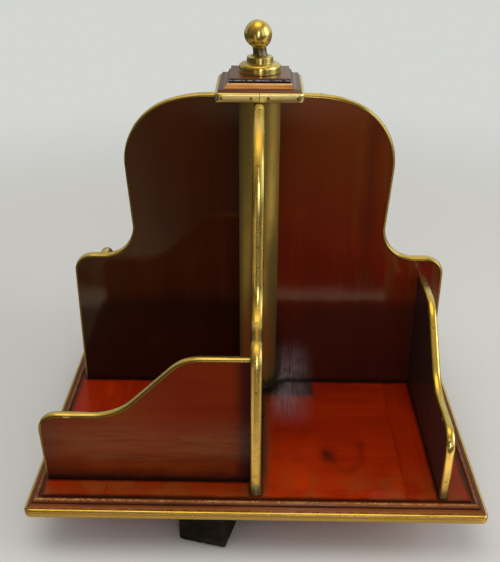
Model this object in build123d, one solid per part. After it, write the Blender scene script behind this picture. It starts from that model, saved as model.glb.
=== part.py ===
"""A revolving table-top book rack: a square tray on a turning spindle, with four book bays.

Frame: origin on the table under the spindle, +Z up along the spindle, -Y towards the viewer.
All lengths are millimetres. Four tall dividers stand out from a brass column, and each carries
a low gallery at its outer end, so that the rack looks the same after each quarter turn.
"""
import math
import os

from build123d import *

# Tray
tray_width = 356.0
tray_thickness = 12.5
tray_corner_radius = 5.5
rail_width = 9.8
band_thickness = 2.2
band_height = 7.4
band_edge_radius = 1.9
side_board_width = 49.0
groove_depth = 3.0

# Moulding along the tray's rails, from the field outwards
quirk_width = 1.5
quirk_depth = 1.6
bead_radius = 2.1
bead_drop = 0.3
fillet_width = 1.5
fillet_drop = 3.0
cove_drop = 4.6
cove_hollow = 0.5

# Space under the tray
base_height = 40.4
plate_radius = 38.0
plate_thickness = 2.6
plate_screw_circle = 27.0
thrust_washer_thickness = 1.2
thrust_washer_radius = 19.0
thrust_play = 0.1

# Cross-shaped base
rail_length = 337.2
rail_breadth = 39.6
base_turn = 14.66
leg_chamfer = 1.5
pad_thickness = 2.0
pad_radius = 14.0
pad_inset = 24.0

# Spindle and its fixing
spindle_radius = 6.0
spindle_collar_radius = 9.5
spindle_collar_height = 3.0
spindle_thread_radius = 4.0
spindle_thread_length = 14.0
washer_thickness = 1.5
washer_radius = 12.5
nut_height = 7.0
nut_radius = 10.9
nut_recess_margin = 1.0
through_hole_margin = 1.0
running_clearance = 0.05
glue_clearance = 0.03

# Brass column and its bushes
column_radius = 17.2
column_wall = 1.6
column_socket_depth = 3.0
bush_height = 12.0

# Tall dividers, measured outside the brass edging and above the tray floor
divider_height = 273.3
divider_thickness = 8.0
divider_setback = 3.0
divider_crown_reach = 57.0
divider_cheek_reach = 115.8
divider_cheek_height = 254.6
divider_waist_reach = 107.5
divider_shoulder_height = 130.2
divider_crown_radius = 110.0
divider_cheek_radius = 56.6
divider_waist_radius = 26.5
divider_shoulder_radius = 16.5

# Low galleries, measured outside the brass edging and above the tray floor
gallery_thickness = 6.4
gallery_inset = 21.5
gallery_end_setback = 0.1
gallery_end_flare = 2.7
gallery_high = 114.0
gallery_low = 62.5
gallery_slope_start = 54.4
gallery_slope_end = 107.1
gallery_upper_radius = 34.0
gallery_lower_radius = 42.0
gallery_corner_radius = 15.5
housing_depth = 2.0

# Brass edging on the dividers and galleries
edging_thickness = 2.4
edging_side = 0.8
edging_overhang = 0.4
edging_under_cap = 4.0

# Cap on top of the column
cap_half = 34.85
cap_band_thickness = 2.0
cap_band_height = 7.4
cap_band_edge_radius = 1.7
cap_step_in = 1.3
cap_step_height = 2.0
cap_cove_in = 6.1
cap_cove_height = 3.4
cap_cove_hollow = 1.3
cap_lip_height = 0.5
cap_plate_half = 23.8
cap_plate_height = 3.1
cap_plate_edge = 0.6
cap_seat_gap = 0.2
cap_screw_place = 22.0

# Finial, as radii and heights above its own foot
finial_flange_radius = 16.7
finial_flange_height = 6.8
finial_flange_edge = 2.9
finial_ring_radius = 10.4
finial_ring_base = 7.6
finial_ring_height = 4.6
finial_ring_edge = 0.5
finial_neck_radius = 5.4
finial_neck_height = 15.6
neck_hollow = 1.4
finial_ball_radius = 10.9
finial_ball_height = 29.0
finial_play = 0.2

# Pins and screws
pin_radius = 0.7
pin_length = 7.0
pin_head_radius = 1.2
pin_head_height = 0.5
pin_head_seat = 0.3
screw_radius = 1.6
screw_head_radius = 3.1
screw_length = 12.0
screw_slot_width = 0.8
screw_slot_depth = 0.9
screw_sink = 0.1
cap_screw_length = 22.0

# Places of pins, as shares of the run that each strip covers
divider_pin_shares = (0.05, 0.22, 0.39, 0.56, 0.74, 0.95)
gallery_pin_shares = (0.07, 0.30, 0.52, 0.76, 0.92)
band_pin_shares = (-0.843, -0.267, 0.267, 0.843)
cap_pin_shares = (-0.845, -0.19, 0.19, 0.845)

# Cutting and fillet limits
overrun = 5.0
fillet_room_share = 0.98

# Sizes worked out from those above
tray_half = tray_width / 2
frame_half = tray_half - band_thickness
field_half = frame_half - rail_width
floor_level = base_height + tray_thickness
divider_reach = field_half - divider_setback
gallery_place = field_half - gallery_inset
gallery_reach = field_half - gallery_end_setback
cap_level = floor_level + divider_height + cap_seat_gap
cap_block_height = cap_band_height + cap_step_height + cap_cove_height + cap_lip_height
cap_top_level = cap_level + cap_block_height + cap_plate_height
finial_level = cap_top_level + finial_play
tray_plate_level = base_height - plate_thickness
thrust_washer_level = tray_plate_level - thrust_play - thrust_washer_thickness
base_plate_level = thrust_washer_level - plate_thickness
rail_height = base_plate_level - pad_thickness
recess_depth = washer_thickness + nut_height + nut_recess_margin
bush_radius = column_radius - column_wall - glue_clearance
spindle_hole_radius = spindle_radius + running_clearance
edging_start = cap_half - edging_under_cap

sides = {"right": 0, "back": 90, "left": 180, "front": 270}
base_screw_angles = [quarter - base_turn for quarter in sides.values()]
tray_screw_angles = [quarter + 45 for quarter in sides.values()]


def save(shape, node):
    """Writes one named piece."""
    export_step(shape, f"parts/{node}.step")


def group(solids):
    """Joins separate solids into one node."""
    return Compound(children=list(solids))


def cylinder_up(radius, low, height):
    """A cylinder on the spindle's axis, from its low end."""
    return Pos(0, 0, low + height / 2) * Cylinder(radius, height)


def box_between(low, high):
    """A box from its lowest corner to its highest."""
    size = [top - bottom for bottom, top in zip(low, high)]
    centre = [(top + bottom) / 2 for bottom, top in zip(low, high)]
    return Pos(*centre) * Box(*size)


def around(shape, angle):
    """The shape turned about the spindle's axis."""
    return Rot(0, 0, angle) * shape


def leg_vector(start, end):
    """Direction and length of one leg of an outline."""
    length = math.dist(start, end)
    return ((end[0] - start[0]) / length, (end[1] - start[1]) / length), length


def corner_turns(corners):
    """Signed turn at each inner corner, positive to the left."""
    turns = []
    for before, corner, after in zip(corners, corners[1:], corners[2:]):
        first, _ = leg_vector(before, corner)
        second, _ = leg_vector(corner, after)
        cross = first[0] * second[1] - first[1] * second[0]
        turns.append(math.atan2(cross, first[0] * second[0] + first[1] * second[1]))
    return turns


def inset_corners(corners, distance):
    """The same outline moved to its right-hand side, with its end kept on the floor."""
    turns = corner_turns(corners)
    moved = []
    for index, corner in enumerate(corners):
        leg = min(index, len(corners) - 2)
        along, _ = leg_vector(corners[leg], corners[leg + 1])
        slide = 0
        if 0 < index < len(corners) - 1:
            slide = -distance * math.tan(turns[index - 1] / 2)
        shift_x = distance * along[1] + slide * along[0]
        shift_y = -distance * along[0] + slide * along[1]
        moved.append((corner[0] + shift_x, corner[1] + shift_y))
    along, _ = leg_vector(moved[-2], moved[-1])
    past_floor = moved[-1][1] / along[1]
    moved[-1] = (moved[-1][0] - along[0] * past_floor, 0)
    return moved


def inset_radii(corners, radii, distance):
    """Corner radii that go with an outline moved to its right-hand side."""
    turns = corner_turns(corners)
    return [radius + math.copysign(distance, turn) for radius, turn in zip(radii, turns)]


def fitted_radii(corners, radii):
    """The corner radii, made smaller only where two of them don't fit on a leg."""
    reaches = [radius * abs(math.tan(turn / 2)) for radius, turn in zip(radii, corner_turns(corners))]
    reaches = [0] + reaches + [0]
    room = []
    for index, (start, end) in enumerate(zip(corners, corners[1:])):
        used = reaches[index] + reaches[index + 1]
        room.append(min(1, fillet_room_share * math.dist(start, end) / used))
    return [radius * min(room[index], room[index + 1]) for index, radius in enumerate(radii)]


def outline_path(corners, radii):
    """The rounded outline, drawn in the upright plane of a panel."""
    points = [(across, 0, up) for across, up in corners]
    return FilletPolyline(*points, radius=fitted_radii(corners, radii))


def panel_solid(path, end_points, thickness):
    """A flat panel between a rounded outline and the straight edges that close it."""
    closing = Polyline(path @ 1, *[(across, 0, up) for across, up in end_points], path @ 0)
    face = make_face(path.edges() + closing.edges())
    return extrude(face, amount=thickness / 2, dir=(0, 1, 0), both=True)


def edging_solid(path, width):
    """A half-round brass strip along a panel's outline."""
    crown = (0, edging_thickness)
    low_right = (width / 2, 0)
    low_left = (-width / 2, 0)
    high_right = (width / 2, edging_side)
    high_left = (-width / 2, edging_side)
    section = Polyline(high_left, low_left, low_right, high_right) + ThreePointArc(high_right, crown, high_left)
    start = Plane(origin=path @ 0, x_dir=(0, 1, 0), z_dir=path % 0)
    strip = sweep(start * make_face(section), path=path)
    return strip - box_between((0, -width, base_height), (tray_half, width, floor_level))


def pin_at(place, inward):
    """A round-headed pin, its head seated in the crown of the strip it holds."""
    shank = Pos(0, 0, pin_length / 2) * Cylinder(pin_radius, pin_length)
    head = Pos(0, 0, pin_head_seat - pin_head_height / 2) * Cylinder(pin_head_radius, pin_head_height)
    return Plane(origin=place, z_dir=inward).location * (shank + head)


def pins_along(path, shares):
    """Pins through the edging on an outline."""
    pins = []
    for share in shares:
        along = path.tangent_at(share)
        inward = Vector(along.Z, 0, -along.X)
        place = path.position_at(share) - inward * edging_thickness
        pins.append(pin_at(place, inward))
    return pins


def without(shape, cutters):
    """The shape with each cutter taken out."""
    for cutter in cutters:
        shape = shape - cutter
    return shape


def divider_corners():
    """Outer corners of a tall divider: crown, cheek, waist, shoulder and end."""
    return [
        (edging_start, divider_height),
        (divider_crown_reach, divider_height),
        (divider_cheek_reach, divider_cheek_height),
        (divider_waist_reach, divider_shoulder_height),
        (divider_reach, divider_shoulder_height),
        (divider_reach, 0),
    ]


def gallery_corners():
    """Outer corners of a low gallery, from the divider to its free end."""
    top_of_end = gallery_reach + gallery_end_flare
    return [
        (divider_thickness / 2, gallery_high),
        (gallery_slope_start, gallery_high),
        (gallery_slope_end, gallery_low),
        (top_of_end, gallery_low),
        (gallery_reach, 0),
    ]


def wood_path(corners, radii):
    """The line where wood and brass meet."""
    inner = inset_corners(corners, edging_thickness)
    return Pos(0, 0, floor_level) * outline_path(inner, inset_radii(corners, radii, edging_thickness))


def divider_and_edging():
    """The divider that stands towards +X, its edging and its pins."""
    radii = [divider_crown_radius, divider_cheek_radius, divider_waist_radius, divider_shoulder_radius]
    path = wood_path(divider_corners(), radii)
    root = floor_level - groove_depth
    wood_end = divider_reach - edging_thickness
    seat = cap_level - cap_seat_gap
    wood = panel_solid(path, [(wood_end, root), (0, root), (0, seat), (edging_start, seat)], divider_thickness)
    wood -= cylinder_up(column_radius + glue_clearance, root, divider_height + 2 * overrun)
    housing_half = gallery_thickness / 2 + glue_clearance
    housing_floor = divider_thickness / 2 - housing_depth
    wood -= box_between(
        (gallery_place - housing_half, -divider_thickness, root - overrun),
        (gallery_place + housing_half, -housing_floor, floor_level + gallery_high - edging_thickness),
    )
    edging = edging_solid(path, divider_thickness + 2 * edging_overhang)
    pins = pins_along(path, divider_pin_shares)
    return without(wood, pins), without(edging, pins), pins


def gallery_and_edging():
    """The gallery carried by the +X divider, its edging and its pins."""
    radii = [gallery_upper_radius, gallery_lower_radius, gallery_corner_radius]
    path = wood_path(gallery_corners(), radii)
    root = floor_level - groove_depth
    start = divider_thickness / 2 - housing_depth + glue_clearance
    wood_end = (path @ 1).X
    top = (path @ 0).Z
    wood = panel_solid(path, [(wood_end, root), (start, root), (start, top)], gallery_thickness)
    edging = edging_solid(path, gallery_thickness + 2 * edging_overhang)
    pins = pins_along(path, gallery_pin_shares)
    place = Pos(gallery_place, 0, 0) * Rot(0, 0, -90)
    wood = place * without(wood, pins)
    edging = place * without(edging, pins)
    return wood, edging, [place * pin for pin in pins]


def square_moulding(lines):
    """A square block whose four sides all have the same moulded section."""
    half = make_face(lines)
    face = half + mirror(half, about=Plane.YZ)
    length = half.bounding_box().max.X
    along_y = extrude(face, amount=length, dir=(0, 1, 0), both=True)
    return along_y & around(along_y, 90)


def upright(points):
    """Points of a section, placed in the upright plane through the spindle."""
    return [(across, 0, up) for across, up in points]


def moulded_tray():
    """The whole tray in the solid: a flat field inside a quirk, bead, fillet and cove."""
    quirk_edge = field_half + quirk_width
    quirk_level = floor_level - quirk_depth
    bead_level = floor_level - bead_drop - bead_radius
    bead_top = (quirk_edge + bead_radius, bead_level + bead_radius)
    fillet_start = quirk_edge + 2 * bead_radius
    fillet_level = floor_level - fillet_drop
    cove_start = (fillet_start + fillet_width, fillet_level)
    cove_end = (frame_half, floor_level - cove_drop)
    outside = [cove_end, (frame_half, base_height), (0, base_height), (0, floor_level)]
    inside = [(field_half, floor_level), (field_half, quirk_level)]
    lines = Polyline(*upright(outside + inside + [(quirk_edge, quirk_level), (quirk_edge, bead_level)]))
    lines += ThreePointArc(*upright([(quirk_edge, bead_level), bead_top, (fillet_start, bead_level)]))
    lines += Polyline(*upright([(fillet_start, bead_level), (fillet_start, fillet_level), cove_start]))
    lines += cove_line(cove_start, cove_end, cove_hollow)
    return square_moulding(lines.edges())


def cove_line(start, end, hollow):
    """A shallow hollow curve between two points of a section."""
    along, _ = leg_vector(start, end)
    middle = [(a + b) / 2 for a, b in zip(start, end)]
    low = (middle[0] + along[1] * hollow, middle[1] - along[0] * hollow)
    return ThreePointArc(*upright([start, low, end]))


def side_wedge(inner, low, high):
    """The part of a square frame that belongs to its +X side, cut on the mitres."""
    outer = tray_half + overrun
    corners = [(inner, -inner), (outer, -outer), (outer, outer), (inner, inner)]
    face = make_face(Polyline(*[(x, y, low) for x, y in corners], close=True))
    return extrude(face, amount=high - low, dir=(0, 0, 1))


def band_block(half, level, height, edge):
    """The outside of a brass band: a square block with its long edges rounded over."""
    block = box_between((-half, -half, level), (half, half, level + height))
    block = fillet(block.edges().filter_by(Axis.Z), tray_corner_radius)
    return fillet(block.faces().sort_by(Axis.Z)[0].edges() + block.faces().sort_by(Axis.Z)[-1].edges(), edge)


def band_pins(half, level, shares, run):
    """Pins through the +X side of a band."""
    return [pin_at((half, run * share, level), (-1, 0, 0)) for share in shares]


def tray_pieces():
    """Boards, mitred rails and brass bands of the tray, with the band's pins."""
    pieces = {}
    block = moulded_tray()
    field = box_between((-field_half, -field_half, base_height - overrun), (field_half, field_half, floor_level))
    level = base_height + band_height / 2
    band = band_block(tray_half, base_height, band_height, band_edge_radius)
    core = box_between((-frame_half, -frame_half, base_height), (frame_half, frame_half, base_height + band_height))
    band -= core
    frame = block - field
    frame_wedge = side_wedge(field_half / 2, base_height, floor_level)
    pins = band_pins(tray_half, level, band_pin_shares, tray_half)
    rail = without(frame & frame_wedge, pins)
    strip = without(band & frame_wedge, pins)
    all_pins = []
    for name, angle in sides.items():
        pieces[f"tray_rail_{name}"] = around(rail, angle)
        pieces[f"tray_band_{name}"] = around(strip, angle)
        all_pins += [around(pin, angle) for pin in pins]
    pieces["tray_band_pins"] = group(all_pins)
    pieces.update(tray_boards())
    return pieces


def panel_grooves():
    """What the tray's boards lose to the dividers, the galleries, the column and the spindle."""
    root = floor_level - groove_depth - glue_clearance
    top = floor_level + overrun
    divider_half = divider_thickness / 2 + glue_clearance
    divider_end = divider_reach - edging_thickness + glue_clearance
    gallery_half = gallery_thickness / 2 + glue_clearance
    gallery_wood_end = gallery_reach - edging_thickness + glue_clearance
    divider_groove = box_between((0, -divider_half, root), (divider_end, divider_half, top))
    gallery_groove = box_between(
        (gallery_place - gallery_half, -gallery_wood_end, root), (gallery_place + gallery_half, 0, top)
    )
    cutters = [
        cylinder_up(column_radius + glue_clearance, floor_level - column_socket_depth, groove_depth + overrun),
        cylinder_up(spindle_radius + through_hole_margin, base_height - overrun, tray_thickness + 2 * overrun),
    ]
    for angle in sides.values():
        cutters += [around(divider_groove, angle), around(gallery_groove, angle)]
    return cutters


def tray_boards():
    """Three boards side by side, grooved for the dividers and galleries."""
    inner = field_half - side_board_width
    edges = [("left", -field_half, -inner), ("centre", -inner, inner), ("right", inner, field_half)]
    cutters = panel_grooves()
    cutters += screw_holes(tray_screw_angles, base_height - plate_thickness + screw_sink, 1)
    boards = {}
    for name, low, high in edges:
        board = box_between((low, -field_half, base_height), (high, field_half, floor_level))
        boards[f"tray_board_{name}"] = without(board, cutters)
    return boards


def countersunk_screw(length):
    """A slotted screw, point downwards, with the top of its head at zero."""
    head_height = screw_head_radius - screw_radius
    shank = Pos(0, 0, -length / 2) * Cylinder(screw_radius, length)
    head = Pos(0, 0, -head_height / 2) * Cone(screw_radius, screw_head_radius, head_height)
    slot = Box(3 * screw_head_radius, screw_slot_width, 2 * screw_slot_depth)
    return shank + head - slot


def screw_seat(length):
    """The hole that a countersunk screw fills."""
    head_height = screw_head_radius - screw_radius
    shank = Pos(0, 0, -length / 2) * Cylinder(screw_radius, length)
    head = Pos(0, 0, -head_height / 2) * Cone(screw_radius, screw_head_radius, head_height)
    mouth = Pos(0, 0, overrun / 2) * Cylinder(screw_head_radius, overrun)
    return shank + head + mouth


def screw_places(angles, level, up):
    """Where the plate screws stand, pointing up or down."""
    flip = Rot(180, 0, 0) if up > 0 else Rot(0, 0, 0)
    return [Rot(0, 0, angle) * Pos(plate_screw_circle, 0, level) * flip for angle in angles]


def screw_holes(angles, level, up):
    """Holes for the plate screws."""
    return [place * screw_seat(screw_length) for place in screw_places(angles, level, up)]


def plate_screws(angles, level, up):
    """The plate screws."""
    return group(place * countersunk_screw(screw_length) for place in screw_places(angles, level, up))


def thrust_plate(level, holes):
    """A round brass plate with a running hole for the spindle."""
    plate = cylinder_up(plate_radius, level, plate_thickness)
    plate -= cylinder_up(spindle_hole_radius, level - overrun, plate_thickness + 2 * overrun)
    return without(plate, holes)


def bearing_pieces():
    """The two thrust plates, the washer between them and their screws."""
    tray_face = tray_plate_level + screw_sink
    base_face = base_plate_level + plate_thickness - screw_sink
    washer = cylinder_up(thrust_washer_radius, thrust_washer_level, thrust_washer_thickness)
    washer -= cylinder_up(spindle_hole_radius, thrust_washer_level - overrun, thrust_washer_thickness + 2 * overrun)
    return {
        "tray_thrust_plate": thrust_plate(tray_plate_level, screw_holes(tray_screw_angles, tray_face, 1)),
        "tray_plate_screws": plate_screws(tray_screw_angles, tray_face, 1),
        "base_thrust_plate": thrust_plate(base_plate_level, screw_holes(base_screw_angles, base_face, -1)),
        "base_plate_screws": plate_screws(base_screw_angles, base_face, -1),
        "thrust_washer": washer,
    }


def cross_rail(angle):
    """One full rail of the base, before its half lap is cut."""
    half_length = rail_length / 2
    half_breadth = rail_breadth / 2
    rail = box_between((-half_length, -half_breadth, pad_thickness), (half_length, half_breadth, base_plate_level))
    ends = rail.edges().filter_by(Axis.Z) + rail.faces().sort_by(Axis.X)[0].edges().sort_by(Axis.Z)[-1:]
    ends += rail.faces().sort_by(Axis.X)[-1].edges().sort_by(Axis.Z)[-1:]
    rail = chamfer(ends, leg_chamfer)
    return around(rail, angle)


def base_pieces():
    """Two rails crossed with a half lap, and a pad under each leg."""
    lap_level = pad_thickness + rail_height / 2
    lap_half = rail_breadth / 2 + glue_clearance
    cutters = screw_holes(base_screw_angles, base_plate_level + plate_thickness - screw_sink, -1)
    cutters += [
        cylinder_up(spindle_radius + through_hole_margin, 0, base_height),
        cylinder_up(washer_radius + through_hole_margin, 0, pad_thickness + recess_depth),
        cylinder_up(spindle_collar_radius + glue_clearance, base_plate_level - spindle_collar_height, base_height),
    ]
    lower_lap = box_between((-lap_half, -lap_half, lap_level), (lap_half, lap_half, base_height))
    upper_lap = box_between((-lap_half, -lap_half, 0), (lap_half, lap_half, lap_level))
    side_angle = -base_turn
    front_angle = 90 - base_turn
    lower = without(cross_rail(side_angle) - around(lower_lap, side_angle), cutters)
    upper = without(cross_rail(front_angle) - around(upper_lap, front_angle), cutters)
    pad_place = rail_length / 2 - pad_inset
    pads = [around(Pos(pad_place, 0, pad_thickness / 2) * Cylinder(pad_radius, pad_thickness), angle)
            for angle in base_screw_angles]
    return {"cross_rail_lower": lower, "cross_rail_upper": upper, "foot_pads": group(pads)}


def spindle_pieces():
    """The spindle with its collar and reduced end, and the washer and nut that clamp it."""
    collar_level = base_plate_level - spindle_collar_height
    washer_level = pad_thickness + recess_depth - washer_thickness
    nut_level = washer_level - nut_height
    spindle = cylinder_up(spindle_radius, nut_level, finial_level - nut_level)
    spindle += cylinder_up(spindle_collar_radius, collar_level, spindle_collar_height)
    spindle += cylinder_up(spindle_thread_radius, finial_level, spindle_thread_length)
    washer = cylinder_up(washer_radius, washer_level, washer_thickness)
    washer -= cylinder_up(spindle_hole_radius, washer_level - overrun, washer_thickness + 2 * overrun)
    nut = extrude(Pos(0, 0, nut_level) * RegularPolygon(nut_radius, 6), amount=nut_height)
    nut -= cylinder_up(spindle_hole_radius, nut_level - overrun, nut_height + 2 * overrun)
    return {"spindle": spindle, "spindle_washer": washer, "spindle_nut": nut}


def column_pieces():
    """The brass column and the two bushes inside its ends."""
    foot = floor_level - column_socket_depth
    head = cap_level + column_socket_depth
    tube = cylinder_up(column_radius, foot, head - foot)
    tube -= cylinder_up(column_radius - column_wall, foot - overrun, head - foot + 2 * overrun)
    bush = cylinder_up(bush_radius, 0, bush_height)
    bush -= cylinder_up(spindle_hole_radius, -overrun, bush_height + 2 * overrun)
    return {
        "column_tube": tube,
        "lower_bush": Pos(0, 0, foot) * bush,
        "upper_bush": Pos(0, 0, head - bush_height) * bush,
    }


def cap_block():
    """The cap's moulded block: band seat, step, hollow cove and lip."""
    core_half = cap_half - cap_band_thickness
    step_half = cap_half - cap_band_thickness - cap_step_in
    lip_half = step_half - cap_cove_in
    band_top = cap_level + cap_band_height
    step_top = band_top + cap_step_height
    cove_top = step_top + cap_cove_height
    block_top = cap_level + cap_block_height
    outline = [(lip_half, cove_top), (lip_half, block_top), (0, block_top), (0, cap_level), (core_half, cap_level)]
    outline += [(core_half, band_top), (step_half, band_top), (step_half, step_top)]
    lines = Polyline(*upright(outline)) + cove_line((lip_half, cove_top), (step_half, step_top), cap_cove_hollow)
    block = square_moulding(lines.edges())
    block -= cylinder_up(column_radius + glue_clearance, cap_level, column_socket_depth + glue_clearance)
    return block - cylinder_up(spindle_radius + through_hole_margin, cap_level, cap_block_height + overrun)


def cap_pieces():
    """The cap: moulded block, top plate, two halves of brass band, pins and screws."""
    block_top = cap_level + cap_block_height
    screw_top = block_top - screw_sink
    places = [Rot(0, 0, angle) * Pos(cap_screw_place, 0, screw_top) for angle in sides.values()]
    seats = [place * screw_seat(cap_screw_length) for place in places]
    level = cap_level + cap_band_height / 2
    pins = []
    for angle in sides.values():
        pins += [around(pin, angle) for pin in band_pins(cap_half, level, cap_pin_shares, cap_half)]
    plate = box_between((-cap_plate_half, -cap_plate_half, block_top), (cap_plate_half, cap_plate_half, cap_top_level))
    plate = chamfer(plate.faces().sort_by(Axis.Z)[-1].edges(), cap_plate_edge)
    plate -= cylinder_up(spindle_radius + through_hole_margin, block_top - overrun, cap_plate_height + 2 * overrun)
    core_half = cap_half - cap_band_thickness
    band = band_block(cap_half, cap_level, cap_band_height, cap_band_edge_radius)
    band -= box_between((-core_half, -core_half, cap_level), (core_half, core_half, cap_level + cap_band_height))
    band = without(band, pins)
    outer = cap_half + overrun
    half_gap = box_between((glue_clearance, -outer, cap_level), (outer, outer, cap_level + cap_band_height))
    return {
        "cap_block": without(cap_block(), pins + seats),
        "cap_plate": plate,
        "cap_band_right": band & half_gap,
        "cap_band_left": band & around(half_gap, 180),
        "cap_band_pins": group(pins),
        "cap_screws": group(place * countersunk_screw(cap_screw_length) for place in places),
    }, seats


def finial():
    """The turned brass finial: flange, ring, hollow neck and ball, bored for the spindle's end."""
    flange_side = finial_flange_edge / math.sqrt(2)
    edge_drop = finial_flange_edge - flange_side
    ring_top = finial_ring_base + finial_ring_height
    ball_start_height = finial_ball_height - math.sqrt(finial_ball_radius**2 - finial_neck_radius**2)
    flange_side_high = (finial_flange_radius, finial_flange_height - finial_flange_edge)
    flange_mid_high = (finial_flange_radius - edge_drop, finial_flange_height - edge_drop)
    flange_high = (finial_flange_radius - finial_flange_edge, finial_flange_height)
    ring_low = (finial_ring_radius, finial_ring_base)
    ring_side = (finial_ring_radius, ring_top - finial_ring_edge)
    ring_edge = (finial_ring_radius - finial_ring_edge, ring_top)
    neck = (finial_neck_radius, finial_neck_height)
    ball_start = (finial_neck_radius, ball_start_height)
    ball_side = (finial_ball_radius, finial_ball_height)
    ball_top = (0, finial_ball_height + finial_ball_radius)
    lines = Polyline(*upright([ball_top, (0, 0), (finial_flange_radius, 0), flange_side_high]))
    lines += ThreePointArc(*upright([flange_side_high, flange_mid_high, flange_high]))
    lines += Polyline(*upright([flange_high, ring_low, ring_side, ring_edge]))
    lines += cove_line(neck, ring_edge, neck_hollow)
    lines += Line(*upright([neck, ball_start]))
    lines += ThreePointArc(*upright([ball_start, ball_side, ball_top]))
    body = revolve(make_face(lines.edges()), Axis.Z)
    bore = spindle_thread_length + through_hole_margin
    return Pos(0, 0, finial_level) * (body - cylinder_up(spindle_thread_radius + running_clearance, 0, bore))


def rack_panels(cap_seats):
    """Four dividers and four galleries with their edgings, and all the pins that hold these."""
    divider, divider_strip, divider_pins = divider_and_edging()
    divider = without(divider, cap_seats)
    gallery, gallery_strip, gallery_pins = gallery_and_edging()
    pieces = {}
    for name, angle in sides.items():
        pieces[f"divider_{name}"] = around(divider, angle)
        pieces[f"divider_edging_{name}"] = around(divider_strip, angle)
        pieces[f"gallery_{name}"] = around(gallery, angle)
        pieces[f"gallery_edging_{name}"] = around(gallery_strip, angle)
    pieces["divider_pins"] = group(around(pin, angle) for angle in sides.values() for pin in divider_pins)
    pieces["gallery_pins"] = group(around(pin, angle) for angle in sides.values() for pin in gallery_pins)
    return pieces


os.makedirs("parts", exist_ok=True)
cap, cap_seats = cap_pieces()
nodes = {"finial": finial()}
for pieces in (tray_pieces(), base_pieces(), bearing_pieces(), spindle_pieces(), column_pieces(), cap):
    nodes.update(pieces)
nodes.update(rack_panels(cap_seats))
for node, shape in nodes.items():
    save(shape, node)
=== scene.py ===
"""Looks for the revolving table-top book rack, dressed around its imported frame.

Blender's unit is the metre, so a length in millimetres is written with the factor mm.
+Z is up along the spindle and -Y is towards the viewer. The rack has quarter-turn symmetry,
so one divider, gallery, rail and band are shaped on the +X side and turned to the other sides.
"""
import math

import bmesh
import bpy
from mathutils import Matrix, Vector, noise


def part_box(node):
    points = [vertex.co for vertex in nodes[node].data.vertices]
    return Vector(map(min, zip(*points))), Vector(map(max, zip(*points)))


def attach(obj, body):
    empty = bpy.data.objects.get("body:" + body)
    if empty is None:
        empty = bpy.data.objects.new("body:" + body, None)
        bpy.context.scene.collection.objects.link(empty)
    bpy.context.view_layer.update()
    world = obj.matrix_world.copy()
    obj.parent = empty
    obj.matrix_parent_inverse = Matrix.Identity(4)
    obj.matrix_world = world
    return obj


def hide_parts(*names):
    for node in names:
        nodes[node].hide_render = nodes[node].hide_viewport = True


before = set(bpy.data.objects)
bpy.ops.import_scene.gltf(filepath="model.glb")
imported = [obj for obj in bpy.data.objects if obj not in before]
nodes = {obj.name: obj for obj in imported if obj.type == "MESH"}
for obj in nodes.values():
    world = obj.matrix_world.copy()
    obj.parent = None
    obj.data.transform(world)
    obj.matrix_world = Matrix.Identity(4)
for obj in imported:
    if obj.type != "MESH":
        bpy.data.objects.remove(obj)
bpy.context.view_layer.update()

mm = 0.001
sides = {"right": 0, "back": 90, "left": 180, "front": 270}

# Levels and half widths, read from the frame
base_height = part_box("tray_rail_right")[0].z
floor_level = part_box("tray_board_centre")[1].z
field_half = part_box("tray_board_centre")[1].y
joint_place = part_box("tray_board_centre")[1].x
frame_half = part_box("tray_rail_right")[1].x
tray_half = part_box("tray_band_right")[1].x
band_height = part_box("tray_band_right")[1].z - base_height
cap_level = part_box("cap_block")[0].z
block_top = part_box("cap_block")[1].z
cap_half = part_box("cap_band_right")[1].x
cap_core_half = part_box("cap_block")[1].x
cap_band_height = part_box("cap_band_right")[1].z - cap_level
plate_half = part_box("cap_plate")[1].x
plate_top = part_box("cap_plate")[1].z
finial_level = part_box("finial")[0].z
divider_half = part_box("divider_right")[1].y
gallery_place = (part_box("gallery_right")[0].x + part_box("gallery_right")[1].x) / 2
gallery_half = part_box("gallery_right")[1].x - gallery_place
divider_strip_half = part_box("divider_edging_right")[1].y
gallery_strip_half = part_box("gallery_edging_right")[1].x - gallery_place
divider_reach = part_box("divider_edging_right")[1].x
divider_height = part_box("divider_edging_right")[1].z - floor_level
strip_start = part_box("divider_edging_right")[0].x
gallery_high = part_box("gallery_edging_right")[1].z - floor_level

# Outlines of the panels outside their brass strips, above the tray's floor
crown_reach = 57.0 * mm
cheek_reach = 115.8 * mm
cheek_height = 254.6 * mm
waist_reach = 107.5 * mm
shoulder_height = 130.2 * mm
divider_radii = [110.0 * mm, 56.6 * mm, 26.5 * mm, 16.5 * mm]
gallery_low = 62.5 * mm
slope_start = 54.4 * mm
slope_end = 107.1 * mm
gallery_reach = 165.9 * mm
gallery_flare = 2.7 * mm
gallery_radii = [34.0 * mm, 42.0 * mm, 15.5 * mm]
strip_thickness = 2.4 * mm

# Tray moulding, from the field outwards
quirk_width = 1.5 * mm
quirk_depth = 1.6 * mm
bead_radius = 2.1 * mm
bead_drop = 0.3 * mm
fillet_width = 1.5 * mm
fillet_drop = 3.0 * mm
cove_drop = 4.6 * mm
cove_hollow = 0.5 * mm
bead_place = field_half + quirk_width + bead_radius
arris = 0.25 * mm

# Bands and cap
band_corner = 5.5 * mm
band_edge = 1.9 * mm
cap_band_edge = 1.7 * mm
cap_step_in = 1.3 * mm
cap_step_height = 2.0 * mm
cap_cove_in = 6.1 * mm
cap_cove_height = 3.4 * mm
cap_cove_hollow = 1.3 * mm
cap_corner = 0.5 * mm
plate_edge = 0.7 * mm

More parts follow.
